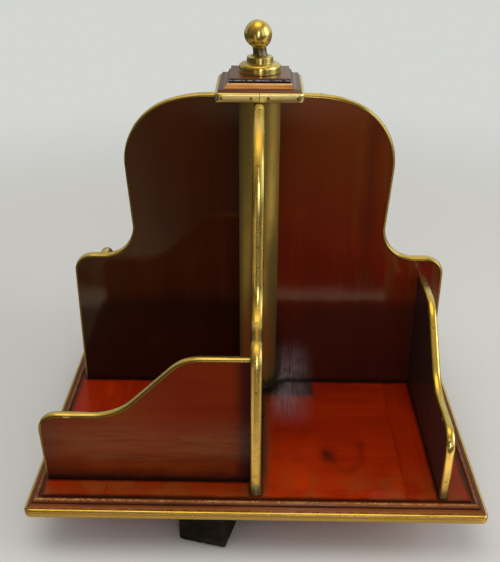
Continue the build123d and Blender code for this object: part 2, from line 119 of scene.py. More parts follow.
# Finial
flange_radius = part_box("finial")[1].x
flange_height = 6.8 * mm
flange_edge = 2.9 * mm
flange_foot_edge = 0.3 * mm
ring_radius = 10.4 * mm
ring_base = 7.6 * mm
ring_top = 12.2 * mm
ring_edge = 0.5 * mm
ring_lip = 1.1 * mm
neck_radius = 5.4 * mm
neck_height = 15.6 * mm
neck_hollow = 1.4 * mm
ball_radius = 10.9 * mm
ball_height = 29.0 * mm
ball_lean = 1.7 * mm

# Pins
pin_head = 1.2 * mm
pin_shank = 0.7 * mm
pin_length = 6.5 * mm
pin_proud = 0.18 * mm
divider_pin_shares = (0.05, 0.22, 0.39, 0.56, 0.74, 0.95)
gallery_pin_shares = (0.07, 0.30, 0.52, 0.76, 0.92)
band_pin_shares = (-0.843, -0.267, 0.267, 0.843)
cap_pin_shares = (-0.845, -0.19, 0.19, 0.845)

# Camera, solved from the photograph
camera_place = Vector((0.00381, -0.6579, 0.4870))
camera_pitch_deg = 26.64
camera_yaw_deg = -0.98
camera_roll_deg = 0.17
focal_length_px = 822.31
frame_height_px = 562
sensor_mm = 36.0


def rounded(corners, radii, step_deg=4):
    """Points along a flat line whose inner corners are arcs."""
    points = [Vector(corners[0])]
    for before, corner, after, radius in zip(corners, corners[1:], corners[2:], radii):
        corner = Vector(corner)
        came = (corner - Vector(before)).normalized()
        goes = (Vector(after) - corner).normalized()
        turn = math.atan2(came.x * goes.y - came.y * goes.x, came.dot(goes))
        steps = max(2, math.ceil(abs(math.degrees(turn)) / step_deg))
        chord = 2 * radius * math.sin(abs(turn) / steps / 2)
        place = corner - came * radius * math.tan(abs(turn) / 2)
        points.append(place)
        for index in range(steps):
            heading = Matrix.Rotation(turn * (index + 0.5) / steps, 2) @ came
            place = place + heading * chord
            points.append(place)
    points.append(Vector(corners[-1]))
    return points


def hollow(start, end, depth, steps=6):
    """Points of a shallow curve that dips to the right of the line from start to end."""
    start = Vector(start)
    end = Vector(end)
    along = (end - start).normalized()
    across = Vector((along.y, -along.x))
    shares = [index / steps for index in range(1, steps)]
    return [start.lerp(end, share) + across * depth * 4 * share * (1 - share) for share in shares]


def spaced(points, gap):
    """The same line with evenly spaced points."""
    runs = [(b - a).length for a, b in zip(points, points[1:])]
    total = sum(runs)
    count = math.ceil(total / gap)
    made = []
    leg = 0
    passed = 0
    for index in range(count + 1):
        wanted = total * index / count
        while leg < len(runs) - 1 and passed + runs[leg] < wanted:
            passed += runs[leg]
            leg += 1
        share = min(1, (wanted - passed) / runs[leg])
        made.append(points[leg].lerp(points[leg + 1], share))
    return made


def outward(points):
    """Unit normals on the left of a flat line."""
    normals = []
    for before, after in zip([points[0]] + points[:-1], points[1:] + [points[-1]]):
        along = (after - before).normalized()
        normals.append(Vector((-along.y, along.x)))
    return normals


def unevenness(place, size, seed):
    """Smooth, repeatable variation between about -1 and 1."""
    return noise.noise(Vector(place) / size + Vector((seed * 7.3, seed * 3.1, seed * 5.7)))


def skin(name, rings, closed=False):
    """A smooth mesh through rings of points, with flat ends unless the rings join up."""
    count = len(rings[0])
    faces = []
    for start in range(len(rings) if closed else len(rings) - 1):
        low = start * count
        high = (start + 1) % len(rings) * count
        faces += [(low + i, high + i, high + (i + 1) % count, low + (i + 1) % count) for i in range(count)]
    if not closed:
        faces.append(tuple(range(count)))
        faces.append(tuple(range(len(rings) * count - count, len(rings) * count)))
    return finished(name, [point for ring in rings for point in ring], faces)


def finished(name, points, faces, sharp_deg=38):
    """A mesh with outward faces, smooth except at its arrises."""
    mesh = bpy.data.meshes.new(name)
    mesh.from_pydata([tuple(point) for point in points], [], faces)
    work = bmesh.new()
    work.from_mesh(mesh)
    bmesh.ops.recalc_face_normals(work, faces=work.faces)
    work.to_mesh(mesh)
    work.free()
    mesh.shade_smooth()
    mesh.set_sharp_from_angle(angle=math.radians(sharp_deg))
    return mesh


def turned(name, profile, around):
    """A turned mesh from a profile that starts and ends on its axis."""
    points = [(0, 0, profile[0][1])]
    for radius, height in profile[1:-1]:
        for index in range(around):
            angle = math.tau * index / around
            points.append((radius * math.cos(angle), radius * math.sin(angle), height))
    points.append((0, 0, profile[-1][1]))
    rings = len(profile) - 2
    top = len(points) - 1
    faces = [(0, 1 + index, 1 + (index + 1) % around) for index in range(around)]
    last = 1 + (rings - 1) * around
    faces += [(top, last + index, last + (index + 1) % around) for index in range(around)]
    for ring in range(rings - 1):
        low = 1 + ring * around
        high = low + around
        faces += [(low + i, low + (i + 1) % around, high + (i + 1) % around, high + i) for i in range(around)]
    return finished(name, points, faces)


def put(name, mesh, body, slot, material, *stands_for, angle=0):
    """Places a finished mesh as one piece of the rack."""
    mesh.transform(Matrix.Rotation(math.radians(angle), 4, "Z"))
    mesh.materials.append(material)
    piece = bpy.data.objects.new(name, mesh)
    bpy.context.scene.collection.objects.link(piece)
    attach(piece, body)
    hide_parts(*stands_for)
    return piece


def joined(name, meshes):
    """Several meshes as one."""
    work = bmesh.new()
    for mesh in meshes:
        work.from_mesh(mesh)
    made = bpy.data.meshes.new(name)
    work.to_mesh(made)
    work.free()
    made.shade_smooth()
    made.set_sharp_from_angle(angle=math.radians(38))
    return made


def half_round(half, thickness, steps=12, fullness=2.15):
    """Section of a half-round strip: pairs of outward and sideways places, its crown at zero."""
    section = []
    for index in range(steps + 1):
        angle = math.pi * index / steps
        side = math.copysign(abs(math.cos(angle)) ** (2 / fullness), math.cos(angle))
        rise = math.sin(angle) ** (2 / fullness) if 0 < index < steps else 0
        section.append((thickness * (rise - 1), half * side))
    return section


def edging(name, outline, half, seed, lift):
    """A half-round brass strip, bent and filed by hand along a panel's outline."""
    line = spaced(outline, 1.6 * mm)
    section = half_round(half, strip_thickness)
    rings = []
    for place, out in zip(line, outward(line)):
        at = (place.x, place.y, 0)
        crown = 0.11 * mm * unevenness(at, 13 * mm, seed)
        lean = 0.10 * mm * unevenness(at, 19 * mm, seed + 1)
        width = 1 + 0.012 * unevenness(at, 24 * mm, seed + 2)
        ring = []
        for rise, side in section:
            share = 1 + rise / strip_thickness
            flat = place + out * (rise + crown * share)
            height = max(floor_level, lift + flat.y)
            ring.append(Vector((flat.x, side * width + lean * share, height)))
        rings.append(ring)
    return skin(name, rings)


def divider_outline():
    """A tall divider's outline, outside its strip."""
    corners = [
        (strip_start, divider_height),
        (crown_reach, divider_height),
        (cheek_reach, cheek_height),
        (waist_reach, shoulder_height),
        (divider_reach, shoulder_height),
        (divider_reach, 0),
    ]
    return rounded(corners, divider_radii)


def gallery_outline():
    """A low gallery's outline, outside its strip, from the divider to its free end."""
    corners = [
        (divider_half, gallery_high),
        (slope_start, gallery_high),
        (slope_end, gallery_low),
        (gallery_reach + gallery_flare, gallery_low),
        (gallery_reach, 0),
    ]
    return rounded(corners, gallery_radii)


def gallery_turn():
    """From the drawing plane of an outline to the gallery's place on the +X side."""
    return Matrix.Translation((gallery_place, 0, 0)) @ Matrix.Rotation(math.radians(-90), 4, "Z")


def add_edgings(material, low_material):
    for seed, (side, angle) in enumerate(sides.items()):
        mesh = edging(f"divider_strip_{side}", divider_outline(), divider_strip_half, seed * 10, floor_level)
        put(mesh.name, mesh, "rack", "brass_trim", material, f"divider_edging_{side}", angle=angle)
        mesh = edging(f"gallery_strip_{side}", gallery_outline(), gallery_strip_half, seed * 10 + 5, floor_level)
        mesh.transform(gallery_turn())
        put(mesh.name, mesh, "rack", "brass_trim", low_material, f"gallery_edging_{side}", angle=angle)


def rail_section():
    """The tray moulding's section: pairs of reach and height."""
    quirk_edge = field_half + quirk_width
    quirk_level = floor_level - quirk_depth
    bead_level = floor_level - bead_drop - bead_radius
    bead_end = quirk_edge + 2 * bead_radius
    fillet_level = floor_level - fillet_drop
    fillet_end = bead_end + fillet_width
    cove_end = (frame_half, floor_level - cove_drop)
    section = [(field_half, base_height), (field_half, quirk_level - arris), (field_half + arris, quirk_level)]
    section += [(quirk_edge, quirk_level)]
    for index in range(13):
        angle = math.pi * (1 - index / 12)
        section.append((bead_place + bead_radius * math.cos(angle), bead_level + bead_radius * math.sin(angle)))
    section += [(bead_end, fillet_level), (fillet_end - arris, fillet_level), (fillet_end, fillet_level - arris)]
    section += [tuple(point) for point in hollow((fillet_end, fillet_level - arris), cove_end, cove_hollow)]
    section += [cove_end, (frame_half, base_height)]
    return section


def moulded_rail(name, seed):
    """A mitred rail with a hand-worn moulding, on the +X side."""
    steps = 120
    rings = []
    for index in range(steps + 1):
        share = 2 * index / steps - 1
        ring = []
        for reach, height in rail_section():
            at = (reach, share * reach, height)
            wear = unevenness(at, 11 * mm, seed) * 0.12 * mm + unevenness(at, 3.5 * mm, seed + 1) * 0.05 * mm
            top = height > base_height + band_height + arris
            if top and abs(share) < 1:
                height += wear
                reach += 0.4 * wear if reach < frame_half - arris else 0
            ring.append(Vector((reach, share * reach, height)))
        rings.append(ring)
    return skin(name, rings)


def add_rails(material, side_material):
    for seed, (side, angle) in enumerate(sides.items()):
        mesh = moulded_rail(f"moulded_rail_{side}", seed * 4)
        chosen = side_material if side in ("right", "left") else material
        put(mesh.name, mesh, "rack", "moulding_wood", chosen, f"tray_rail_{side}", angle=angle)


def square_path(half, corner, gap):
    """Points and outward directions round a square with rounded corners, from the mitre at +X -Y."""
    turns = 6
    straight = half - corner
    count = 2 * math.ceil(straight / gap)
    path = []
    for quarter in range(4):
        spin = Matrix.Rotation(quarter * math.pi / 2, 2)
        run = []
        for index in range(turns // 2, turns):
            angle = math.pi / 2 * index / turns - math.pi / 2
            out = Vector((math.cos(angle), math.sin(angle)))
            run.append((Vector((straight, -straight)) + out * corner, out))
        run += [(Vector((half, straight * (2 * i / count - 1))), Vector((1, 0))) for i in range(count)]
        for index in range(turns // 2):
            angle = math.pi / 2 * index / turns
            out = Vector((math.cos(angle), math.sin(angle)))
            run.append((Vector((straight, straight)) + out * corner, out))
        path += [(spin @ place, spin @ out) for place, out in run]
    return path, len(path) // 4


def band(name, run, core_half, low, height, thickness, edge, seed):
    """A brass band with rounded edges, pressed against a square core."""
    section = [Vector((-thickness, 0))]
    section += rounded([(-thickness, 0), (0, 0), (0, height), (-thickness, height)], [edge, edge], 15)[1:-1]
    section += [Vector((-thickness, height))]
    rings = []
    for place, out in run:
        swell = 0.07 * mm * unevenness((place.x, place.y, 0), 48 * mm, seed)
        tilt = 0.03 * mm * unevenness((place.x, place.y, 0), 65 * mm, seed + 1)
        ring = []
        for depth, up in section:
            flat = place + out * (depth + min(0, swell + tilt * (up / height - 0.5) - 0.05 * mm) * (depth > -thickness))
            reach = max(abs(flat.x), abs(flat.y))
            if depth == -thickness:
                flat = flat * (core_half / reach)
            ring.append(Vector((flat.x, flat.y, low + up)))
        rings.append(ring)
    return skin(name, rings)


def add_bands(material, cap_material):
    path, quarter = square_path(tray_half, band_corner, 3.5 * mm)
    path = path + path[:1]
    thickness = tray_half - frame_half
    for index, side in enumerate(sides):
        run = path[index * quarter:(index + 1) * quarter + 1]
        mesh = band(f"edge_band_{side}", run, frame_half, base_height, band_height, thickness, band_edge, index * 3)
        put(mesh.name, mesh, "rack", "brass_trim", material, f"tray_band_{side}")
    path, quarter = square_path(cap_half, band_corner, 2 * mm)
    middle = quarter // 2
    halves = {
        "right": path[3 * quarter + middle:] + path[:quarter + middle + 1],
        "left": path[quarter + middle:3 * quarter + middle + 1],
    }
    thickness = cap_half - cap_core_half
    for seed, (side, run) in enumerate(halves.items()):
        mesh = band(f"cap_strip_{side}", run, cap_core_half, cap_level, cap_band_height, thickness, cap_band_edge, seed)
        put(mesh.name, mesh, "rack", "brass_trim", cap_material, f"cap_band_{side}")


def squared(name, profile, corner):
    """A square moulded block from a profile of half widths and heights, its upright corners softened."""
    rings = []
    for half, height in profile:
        path, _ = square_path(half, min(corner, half / 2), 4 * mm)
        rings.append([Vector((place.x, place.y, height)) for place, _ in path])
    count = min(len(ring) for ring in rings)
    rings = [resampled(ring, count) for ring in rings]
    return skin(name, rings)


def resampled(ring, count):
    """The same closed ring with fewer points on its straights, corners kept."""
    quarter = len(ring) // 4
    wanted = count // 4
    kept = []
    for start in range(0, len(ring), quarter):
        run = ring[start:start + quarter]
        spare = len(run) - wanted
        middle = len(run) // 2
        kept += run[:middle - spare // 2] + run[middle - spare // 2 + spare:]
    return kept


def add_cap(wood):
    """The moulded cap block and its top plate, with softened arrises."""
    band_top = cap_level + cap_band_height
    step = cap_core_half - cap_step_in
    step_top = band_top + cap_step_height
    lip = step - cap_cove_in
    cove_top = step_top + cap_cove_height
    profile = [(cap_core_half, cap_level), (cap_core_half, band_top), (step, band_top)]
    profile += [tuple(p) for p in rounded([(step, band_top), (step, step_top), (step - arris * 4, step_top)], [0.5 * mm], 30)[1:]]
    profile += [tuple(p) for p in reversed(hollow((lip, cove_top), (step - arris * 4, step_top), cap_cove_hollow))]
    profile += [(lip, cove_top), (lip, block_top)]
    mesh = squared("cap_moulding", profile, cap_corner)
    put(mesh.name, mesh, "rack", "cap_wood", wood, "cap_block")
    corners = [(plate_half - 6 * plate_edge, block_top), (plate_half, block_top), (plate_half, plate_top),
               (plate_half - 6 * plate_edge, plate_top)]
    profile = [tuple(p) for p in rounded(corners, [plate_edge / 2, plate_edge], 20)]
    mesh = squared("cap_top", profile, 2 * cap_corner)
    put(mesh.name, mesh, "rack", "cap_wood", wood, "cap_plate")


def finial_profile():
    """The finial's turned profile above its foot."""
    join_height = ball_height - math.sqrt(ball_radius**2 - neck_radius**2)
    corners = [(0, 0), (flange_radius, 0), (flange_radius, flange_height), (ring_radius, ring_base),
               (ring_radius, ring_top), (ring_radius - ring_lip, ring_top)]
    profile = rounded(corners, [flange_foot_edge, flange_edge, 0.4 * mm, ring_edge], 12)
    profile += reversed(hollow((neck_radius, neck_height), profile[-1], neck_hollow))
    profile += [Vector((neck_radius, neck_height)), Vector((neck_radius, join_height - 0.5 * mm))]
    start = math.asin((join_height - ball_height) / ball_radius)
    for index in range(1, 33):
        angle = start + (math.pi / 2 - start) * index / 32
        profile.append(Vector((ball_radius * math.cos(angle), ball_height + ball_radius * math.sin(angle))))
    profile[-1].x = 0
    return [(point.x, point.y + finial_level) for point in profile]


def add_finial(material):
    """The finial, its ball knocked a little to the left."""
    mesh = turned("turned_finial", finial_profile(), 96)
    for vertex in mesh.vertices:
        share = (vertex.co.z - finial_level - ring_top) / (ball_height - ring_top)
        share = min(1, max(0, share))
        vertex.co.x -= ball_lean * share * share * (3 - 2 * share)
    put(mesh.name, mesh, "base", "brass_turned", material, "finial")


def pin_mesh(place, out, seed):
    """A round-headed pin, filed nearly flush, with its rim marked for the dark ring of old polish."""
    top = pin_proud * (0.8 + 0.2 * unevenness(place, 5 * mm, seed))
    profile = [(0, -pin_length), (pin_shank, -pin_length), (pin_shank, -0.4 * mm), (pin_head, -0.4 * mm),
               (pin_head, -0.05 * mm), (pin_head * 0.9, top * 0.55), (pin_head * 0.6, top * 0.9), (0, top)]
    mesh = turned("pin", profile, 20)
    rim = mesh.attributes.new("rim", "FLOAT", "POINT")
    for vertex, mark in zip(mesh.vertices, rim.data):
        mark.value = 1.0 if vertex.co.xy.length > pin_head * 0.8 else 0.0
    tip = Vector((0.03 * unevenness(place, 3 * mm, seed + 1), 0.03 * unevenness(place, 3 * mm, seed + 2), 1))
    turn = Vector(out).to_track_quat("Z", "Y") @ Vector((0, 0, 1)).rotation_difference(tip)
    mesh.transform(Matrix.Translation(place) @ turn.to_matrix().to_4x4())
    return mesh


def pins_on(outline, shares, placing):
    """Places and directions of the pins along a panel's strip."""
    line = spaced(outline, 0.4 * mm)
    normals = outward(line)
    found = []
    for share in shares:
        index = round(share * (len(line) - 1))
        place = placing @ Vector((line[index].x, 0, floor_level + line[index].y))
        out = placing.to_3x3() @ Vector((normals[index].x, 0, normals[index].y))
        found.append((place, out))
    return found


def add_pins(material, cap_material):
    level = base_height + band_height / 2
    cap_middle = cap_level + cap_band_height / 2
    groups = {
        "divider_pins": pins_on(divider_outline(), divider_pin_shares, Matrix.Identity(4)),
        "gallery_pins": pins_on(gallery_outline(), gallery_pin_shares, gallery_turn()),
        "tray_band_pins": [(Vector((tray_half, tray_half * s, level)), Vector((1, 0, 0))) for s in band_pin_shares],
        "cap_band_pins": [(Vector((cap_half, cap_half * s, cap_middle)), Vector((1, 0, 0))) for s in cap_pin_shares],
    }
    for node, places in groups.items():
        meshes = []
        for angle in sides.values():
            spin = Matrix.Rotation(math.radians(angle), 4, "Z")
            for place, out in places:
                meshes.append(pin_mesh(spin @ place, spin.to_3x3() @ out, len(meshes)))
        mesh = joined(node.replace("pins", "pin_heads"), meshes)
        put(mesh.name, mesh, "rack", "brass_trim", cap_material if node == "cap_band_pins" else material, node)


def worn_copy(name, node, cell, depth, seed):
    """A roughened, knocked-about copy of a node's shape."""
    copy = bpy.data.objects.new(name, nodes[node].data.copy())
    bpy.context.scene.collection.objects.link(copy)
    weld = copy.modifiers.new("weld", "WELD")
    weld.merge_threshold = 0.01 * mm
    remesh = copy.modifiers.new("remesh", "REMESH")
    remesh.mode = "VOXEL"
    remesh.voxel_size = cell
    ready = copy.evaluated_get(bpy.context.evaluated_depsgraph_get())
    mesh = bpy.data.meshes.new_from_object(ready)
    mesh.name = name
    mesh.materials.clear()
    bpy.data.objects.remove(copy)
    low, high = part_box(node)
    normals = [vertex.normal.copy() for vertex in mesh.vertices]
    for vertex, normal in zip(mesh.vertices, normals):
        at = vertex.co.copy()
        knock = unevenness(at, 16 * mm, seed) * depth * 0.5 + unevenness(at, 5 * mm, seed + 1) * depth * 0.35
        chip = max(0, unevenness(at, 9 * mm, seed + 2) - 0.32) * depth * 5
        moved = at - normal * (chip - min(0, knock) + depth * 0.2)
        vertex.co = [min(max(c, a), b) for c, a, b in zip(moved, low, high)]
    mesh.shade_smooth()
    return mesh


def add_base(material):
    for seed, which in enumerate(("lower", "upper")):
        mesh = worn_copy(f"worn_rail_{which}", f"cross_rail_{which}", 1.5 * mm, 0.7 * mm, seed * 5)
        put(mesh.name, mesh, "base", "base_wood", material, f"cross_rail_{which}")


class Maker:
    """A material and short calls that add nodes to it."""

    def __init__(self, name, **shader):
        self.material = bpy.data.materials.new(name)
        self.material.use_nodes = True
        self.tree = self.material.node_tree
        self.shader = self.tree.nodes["Principled BSDF"]
        for socket, value in shader.items():
            self.shader.inputs[socket.replace("_", " ")].default_value = value
        self.place = self.add("TexCoord").outputs["Object"]

    def add(self, kind, **settings):
        node = self.tree.nodes.new("ShaderNode" + kind)
        for key, value in settings.items():
            setattr(node, key, value)
        return node

    def feed(self, socket, value):
        if isinstance(value, bpy.types.NodeSocket):
            self.tree.links.new(value, socket)
        else:
            socket.default_value = value

    def set(self, socket, value):
        self.feed(self.shader.inputs[socket], value)

    def calc(self, operation, first, second=0.0, clamp=False):
        node = self.add("Math", operation=operation, use_clamp=clamp)
        self.feed(node.inputs[0], first)
        self.feed(node.inputs[1], second)
        return node.outputs[0]

    def span(self, value, low, high, to_low=0.0, to_high=1.0):
        node = self.add("MapRange", interpolation_type="SMOOTHSTEP")
        for socket, item in zip(node.inputs, (value, low, high, to_low, to_high)):
            self.feed(socket, item)
        return node.outputs[0]

    def mix(self, factor, first, second, kind="MIX"):
        node = self.add("Mix", data_type="RGBA", blend_type=kind)
        for index, item in ((0, factor), (6, first), (7, second)):
            self.feed(node.inputs[index], (*item, 1) if isinstance(item, tuple) else item)
        return node.outputs[2]

    def ramp(self, value, *stops):
        node = self.add("ValToRGB")
        elements = node.color_ramp.elements
        while len(elements) < len(stops):
            elements.new(0.5)
        for element, (place, colour) in zip(elements, stops):
            element.position = place
            element.color = (*colour, 1)
        self.feed(node.inputs[0], value)
        return node.outputs[0]

    def split(self, place=None):
        node = self.add("SeparateXYZ")
        self.feed(node.inputs[0], place or self.place)
        return node.outputs

    def combine(self, *values):
        node = self.add("CombineXYZ")
        for socket, value in zip(node.inputs, values):
            self.feed(socket, value)
        return node.outputs[0]

    def noise(self, place, size, detail=2.0, roughness=0.5, seed=0.0):
        node = self.add("TexNoise", noise_dimensions="4D")
        self.feed(node.inputs["Vector"], place)
        node.inputs["W"].default_value = seed
        node.inputs["Scale"].default_value = 1 / size
        node.inputs["Detail"].default_value = detail
        node.inputs["Roughness"].default_value = roughness
        return node.outputs[0]

    def bump(self, height, depth, strength=1.0, normal=None):
        node = self.add("Bump")
        node.inputs["Strength"].default_value = strength
        node.inputs["Distance"].default_value = depth
        self.feed(node.inputs["Height"], height)
        if normal:
            self.feed(node.inputs["Normal"], normal)
        return node.outputs[0]

    def grain(self, along, stretch, seed):
        """Object coordinates squeezed along the grain, with the grain gently wandering."""
        axes = [axis for axis in "XYZ" if axis != along]
        parts = {axis: socket for axis, socket in zip("XYZ", self.split())}
        wander = self.noise(self.place, 80 * mm, 1.0, 0.4, seed + 3)
        wander = self.calc("MULTIPLY", self.calc("SUBTRACT", wander, 0.5), 14 * mm)
        squeezed = self.calc("DIVIDE", parts[along], stretch)
        return self.combine(squeezed, self.calc("ADD", parts[axes[0]], wander), self.calc("ADD", parts[axes[1]], wander))

    def near(self, value, place, width):
        """1 where value is at place, falling to 0 at width away."""
        gap = self.calc("ABSOLUTE", self.calc("SUBTRACT", value, place))
        return self.span(gap, 0.0, width, 1.0, 0.0)

    def spot(self, x, y, radius, squash=1.0):
        """1 at a point of the tray floor, falling to 0 at a radius away."""
        parts = self.split()
        dx = self.calc("SUBTRACT", parts[0], x)
        dy = self.calc("MULTIPLY", self.calc("SUBTRACT", parts[1], y), squash)
        gap = self.calc("SQRT", self.calc("ADD", self.calc("MULTIPLY", dx, dx), self.calc("MULTIPLY", dy, dy)))
        return self.span(gap, 0.0, radius, 1.0, 0.0)


def wood(name, along, tones, seed, grime_and_shade=None, marks=None, gloss=0.08, coat=0.5, figure=1.0):
    """Old French-polished mahogany: soft ribbon figure, fine straight grain, uneven polish, and dirt with painted
    shade.
    """
    m = Maker(name, Coat_Weight=coat, Coat_Roughness=gloss, Coat_IOR=1.5, Specular_IOR_Level=0.04)
    dark, middle, light = tones
    ribbon = m.noise(m.grain(along, 14, seed), 15 * mm, 2.0, 0.5, seed)
    streak = m.noise(m.grain(along, 30, seed + 1), 2.6 * mm, 3.0, 0.55, seed + 1)
    cloud = m.noise(m.place, 70 * mm, 2.0, 0.5, seed + 2)
    tone = m.calc("ADD", m.calc("MULTIPLY", ribbon, 0.36), m.calc("MULTIPLY", streak, 0.24 * figure))
    tone = m.calc("ADD", tone, m.calc("MULTIPLY", cloud, 0.64 - 0.24 * figure))
    colour = m.ramp(tone, (0.36, dark), (0.50, middle), (0.64, light))
    pores = m.noise(m.grain(along, 16, seed + 4), 0.5 * mm, 1.0, 0.5, seed + 4)
    pores = m.calc("MULTIPLY", m.span(pores, 0.60, 0.74), 0.22 * figure)
    colour = m.mix(pores, colour, tuple(0.4 * c for c in dark))
    for mask, shade in (marks(m) if marks else []):
        colour = m.mix(mask, colour, shade)
    # Dirt with painted shade, darkened towards a near-black brown
    if grime_and_shade:
        colour = m.mix(grime_and_shade(m), colour, (0.008, 0.004, 0.002))
    m.set("Base Color", colour)
    m.set("Roughness", m.span(cloud, 0.3, 0.7, 0.45, 0.6))
    m.set("Normal", m.bump(streak, 0.04 * mm, 0.2))
    swell = m.noise(m.place, 34 * mm, 2.0, 0.5, seed + 6)
    fibres = m.noise(m.grain(along, 26, seed + 7), 1.3 * mm, 2.0, 0.5, seed + 7)
    m.set("Coat Normal", m.bump(fibres, 0.02 * mm, 0.35, m.bump(swell, 0.5 * mm, 0.3)))
    return m.material


gallery_coat = 0.2
board_coat = 0.2
front_coat = 0.15
divider_tones = ((0.100, 0.0062, 0.0004), (0.142, 0.0086, 0.0006), (0.180, 0.0165, 0.0013))
# Painted shade: darker copies of the divider tones for the left divider
shaded_tones = ((0.034, 0.0060, 0.0015), (0.052, 0.0095, 0.0020), (0.070, 0.0150, 0.0030))
gallery_tones = ((0.110, 0.0110, 0.0012), (0.165, 0.0205, 0.0020), (0.215, 0.0360, 0.0040))
# Painted shade: darker, greener tones for the front divider
front_shaded_tones = ((0.032, 0.0105, 0.0022), (0.048, 0.0165, 0.0032), (0.066, 0.0230, 0.0042))
floor_tones = ((0.290, 0.0135, 0.0010), (0.395, 0.0210, 0.0012), (0.500, 0.0380, 0.0022))
moulding_tones = ((0.110, 0.0200, 0.0040), (0.190, 0.0420, 0.0085), (0.280, 0.0800, 0.0180))
cap_tones = ((0.070, 0.0160, 0.0060), (0.115, 0.0300, 0.0100), (0.175, 0.0560, 0.0200))
base_tones = ((0.004, 0.0034, 0.0024), (0.012, 0.0095, 0.0066), (0.034, 0.0240, 0.0150))


def reach_of(m):
    """How far a point lies along its panel or from the middle of the tray."""
    x, y, z = m.split()
    return m.calc("MAXIMUM", m.calc("ABSOLUTE", x), m.calc("ABSOLUTE", y))


def divider_marks(m):
    """Browner polish on the crown, brown streaks towards the outer edge, and painted shade darkening the wood low down.
    """
    height = m.calc("SUBTRACT", m.split()[2], floor_level)
    reach = reach_of(m)
    crown = m.span(height, 120 * mm, 250 * mm)
    outer = m.span(m.noise(m.grain("Z", 12, 11.0), 9 * mm, 2.0, 0.5, 11.0), 0.46, 0.60)
    outer = m.calc("MULTIPLY", outer, m.span(reach, 66 * mm, 100 * mm))
    # Painted shade: the wood darkened low down, where less light reaches it
    low = m.span(height, 76 * mm, 100 * mm, 1.0, 0.0)
    return [
        (m.calc("MULTIPLY", crown, 0.8), (0.132, 0.0270, 0.0030)),
        (m.calc("MULTIPLY", outer, 0.6), (0.115, 0.0340, 0.0060)),
        (m.calc("MULTIPLY", low, 0.66), (0.027, 0.0095, 0.0066)),
    ]


def shaded_marks(m):
    """The same, dimmed as painted shade for the dividers in shade."""
    return [(mask, tuple(0.42 * c for c in colour)) for mask, colour in divider_marks(m)]


def painted_haze_marks(m):
    """The same, with a painted hazy, streaked reflection low down beside the column."""
    x, y, z = m.split()
    height = m.calc("SUBTRACT", z, floor_level)
    streaks = m.noise(m.combine(x, y, m.calc("MULTIPLY", z, 0.07)), 1.6 * mm, 3.0, 0.6, 31.0)
    clouds = m.noise(m.place, 14 * mm, 2.0, 0.5, 32.0)
    # Painted reflection: a pale, hazy streaked patch where a lamp near the camera would shine back
    patch = m.calc("MULTIPLY", m.span(x, 56 * mm, 24 * mm), m.span(height, 52 * mm, 8 * mm))
    painted_haze = m.calc("MULTIPLY", patch, m.span(m.calc("ADD", streaks, clouds), 0.7, 1.2, 0.25, 1.0))
    streak = m.calc("ADD", x, m.calc("MULTIPLY", m.noise(m.grain("Z", 12, 33.0), 9 * mm, 2.0, 0.5, 33.0), 12 * mm))
    streak = m.calc("MULTIPLY", m.near(streak, 100 * mm, 9 * mm), m.span(height, 120 * mm, 160 * mm))
    streak = m.calc("MULTIPLY", streak, 0.45)
    return divider_marks(m) + [(streak, (0.050, 0.0080, 0.0020)), (painted_haze, (0.360, 0.270, 0.280))]


def gallery_marks(axis):
    """Redder wood up towards the divider, brown streaks in the middle, darker towards the bottom, and painted shade
    beside the divider.
    """
    def marks(m):
        parts = {letter: socket for letter, socket in zip("XYZ", m.split())}
        along = m.calc("ABSOLUTE", parts[axis])
        height = m.calc("SUBTRACT", parts["Z"], floor_level)
        ragged = m.calc("MULTIPLY", m.calc("SUBTRACT", m.noise(m.place, 16 * mm, 3.0, 0.55, 35.0), 0.5), 16 * mm)
        red = m.calc("MULTIPLY", m.span(height, 34 * mm, 58 * mm), m.span(along, 110 * mm, 60 * mm))
        streaks = m.noise(m.grain(axis, 9, 36.0), 5 * mm, 3.0, 0.6, 36.0)
        brown = m.calc("MULTIPLY", m.span(streaks, 0.42, 0.60), m.span(height, 8 * mm, 22 * mm))
        brown = m.calc("MULTIPLY", brown, m.span(height, 62 * mm, 40 * mm))
        low = m.span(m.calc("ADD", height, ragged), 17 * mm, 0.0)
        # Painted shade: darker wood in the corner beside the divider
        beside = m.span(m.calc("ADD", along, m.calc("MULTIPLY", ragged, 0.5)), 19 * mm, 8 * mm)
        end = m.span(m.calc("ADD", along, ragged), 136 * mm, 166 * mm)
        return [
            (m.calc("MULTIPLY", red, 0.6), (0.190, 0.0125, 0.0010)),
            (m.calc("MULTIPLY", brown, 0.55), (0.185, 0.0480, 0.0085)),
            (m.calc("MULTIPLY", low, 0.85), (0.036, 0.0100, 0.0060)),
            (m.calc("MULTIPLY", beside, 0.75), (0.024, 0.0060, 0.0075)),
            (m.calc("MULTIPLY", end, 0.5), (0.060, 0.0110, 0.0070)),
        ]
    return marks


def inner_shade_marks(m):
    """The same, with painted shade, dark and dull, over the whole inner face."""
    # Painted shade: the inner face darkened all over, as it is turned from the window lamp
    inner = m.span(m.split()[0], gallery_place + 1 * mm, gallery_place - 1 * mm)
    return gallery_marks("Y")(m) + [(m.calc("MULTIPLY", inner, 0.9), (0.0340, 0.0244, 0.0220))]


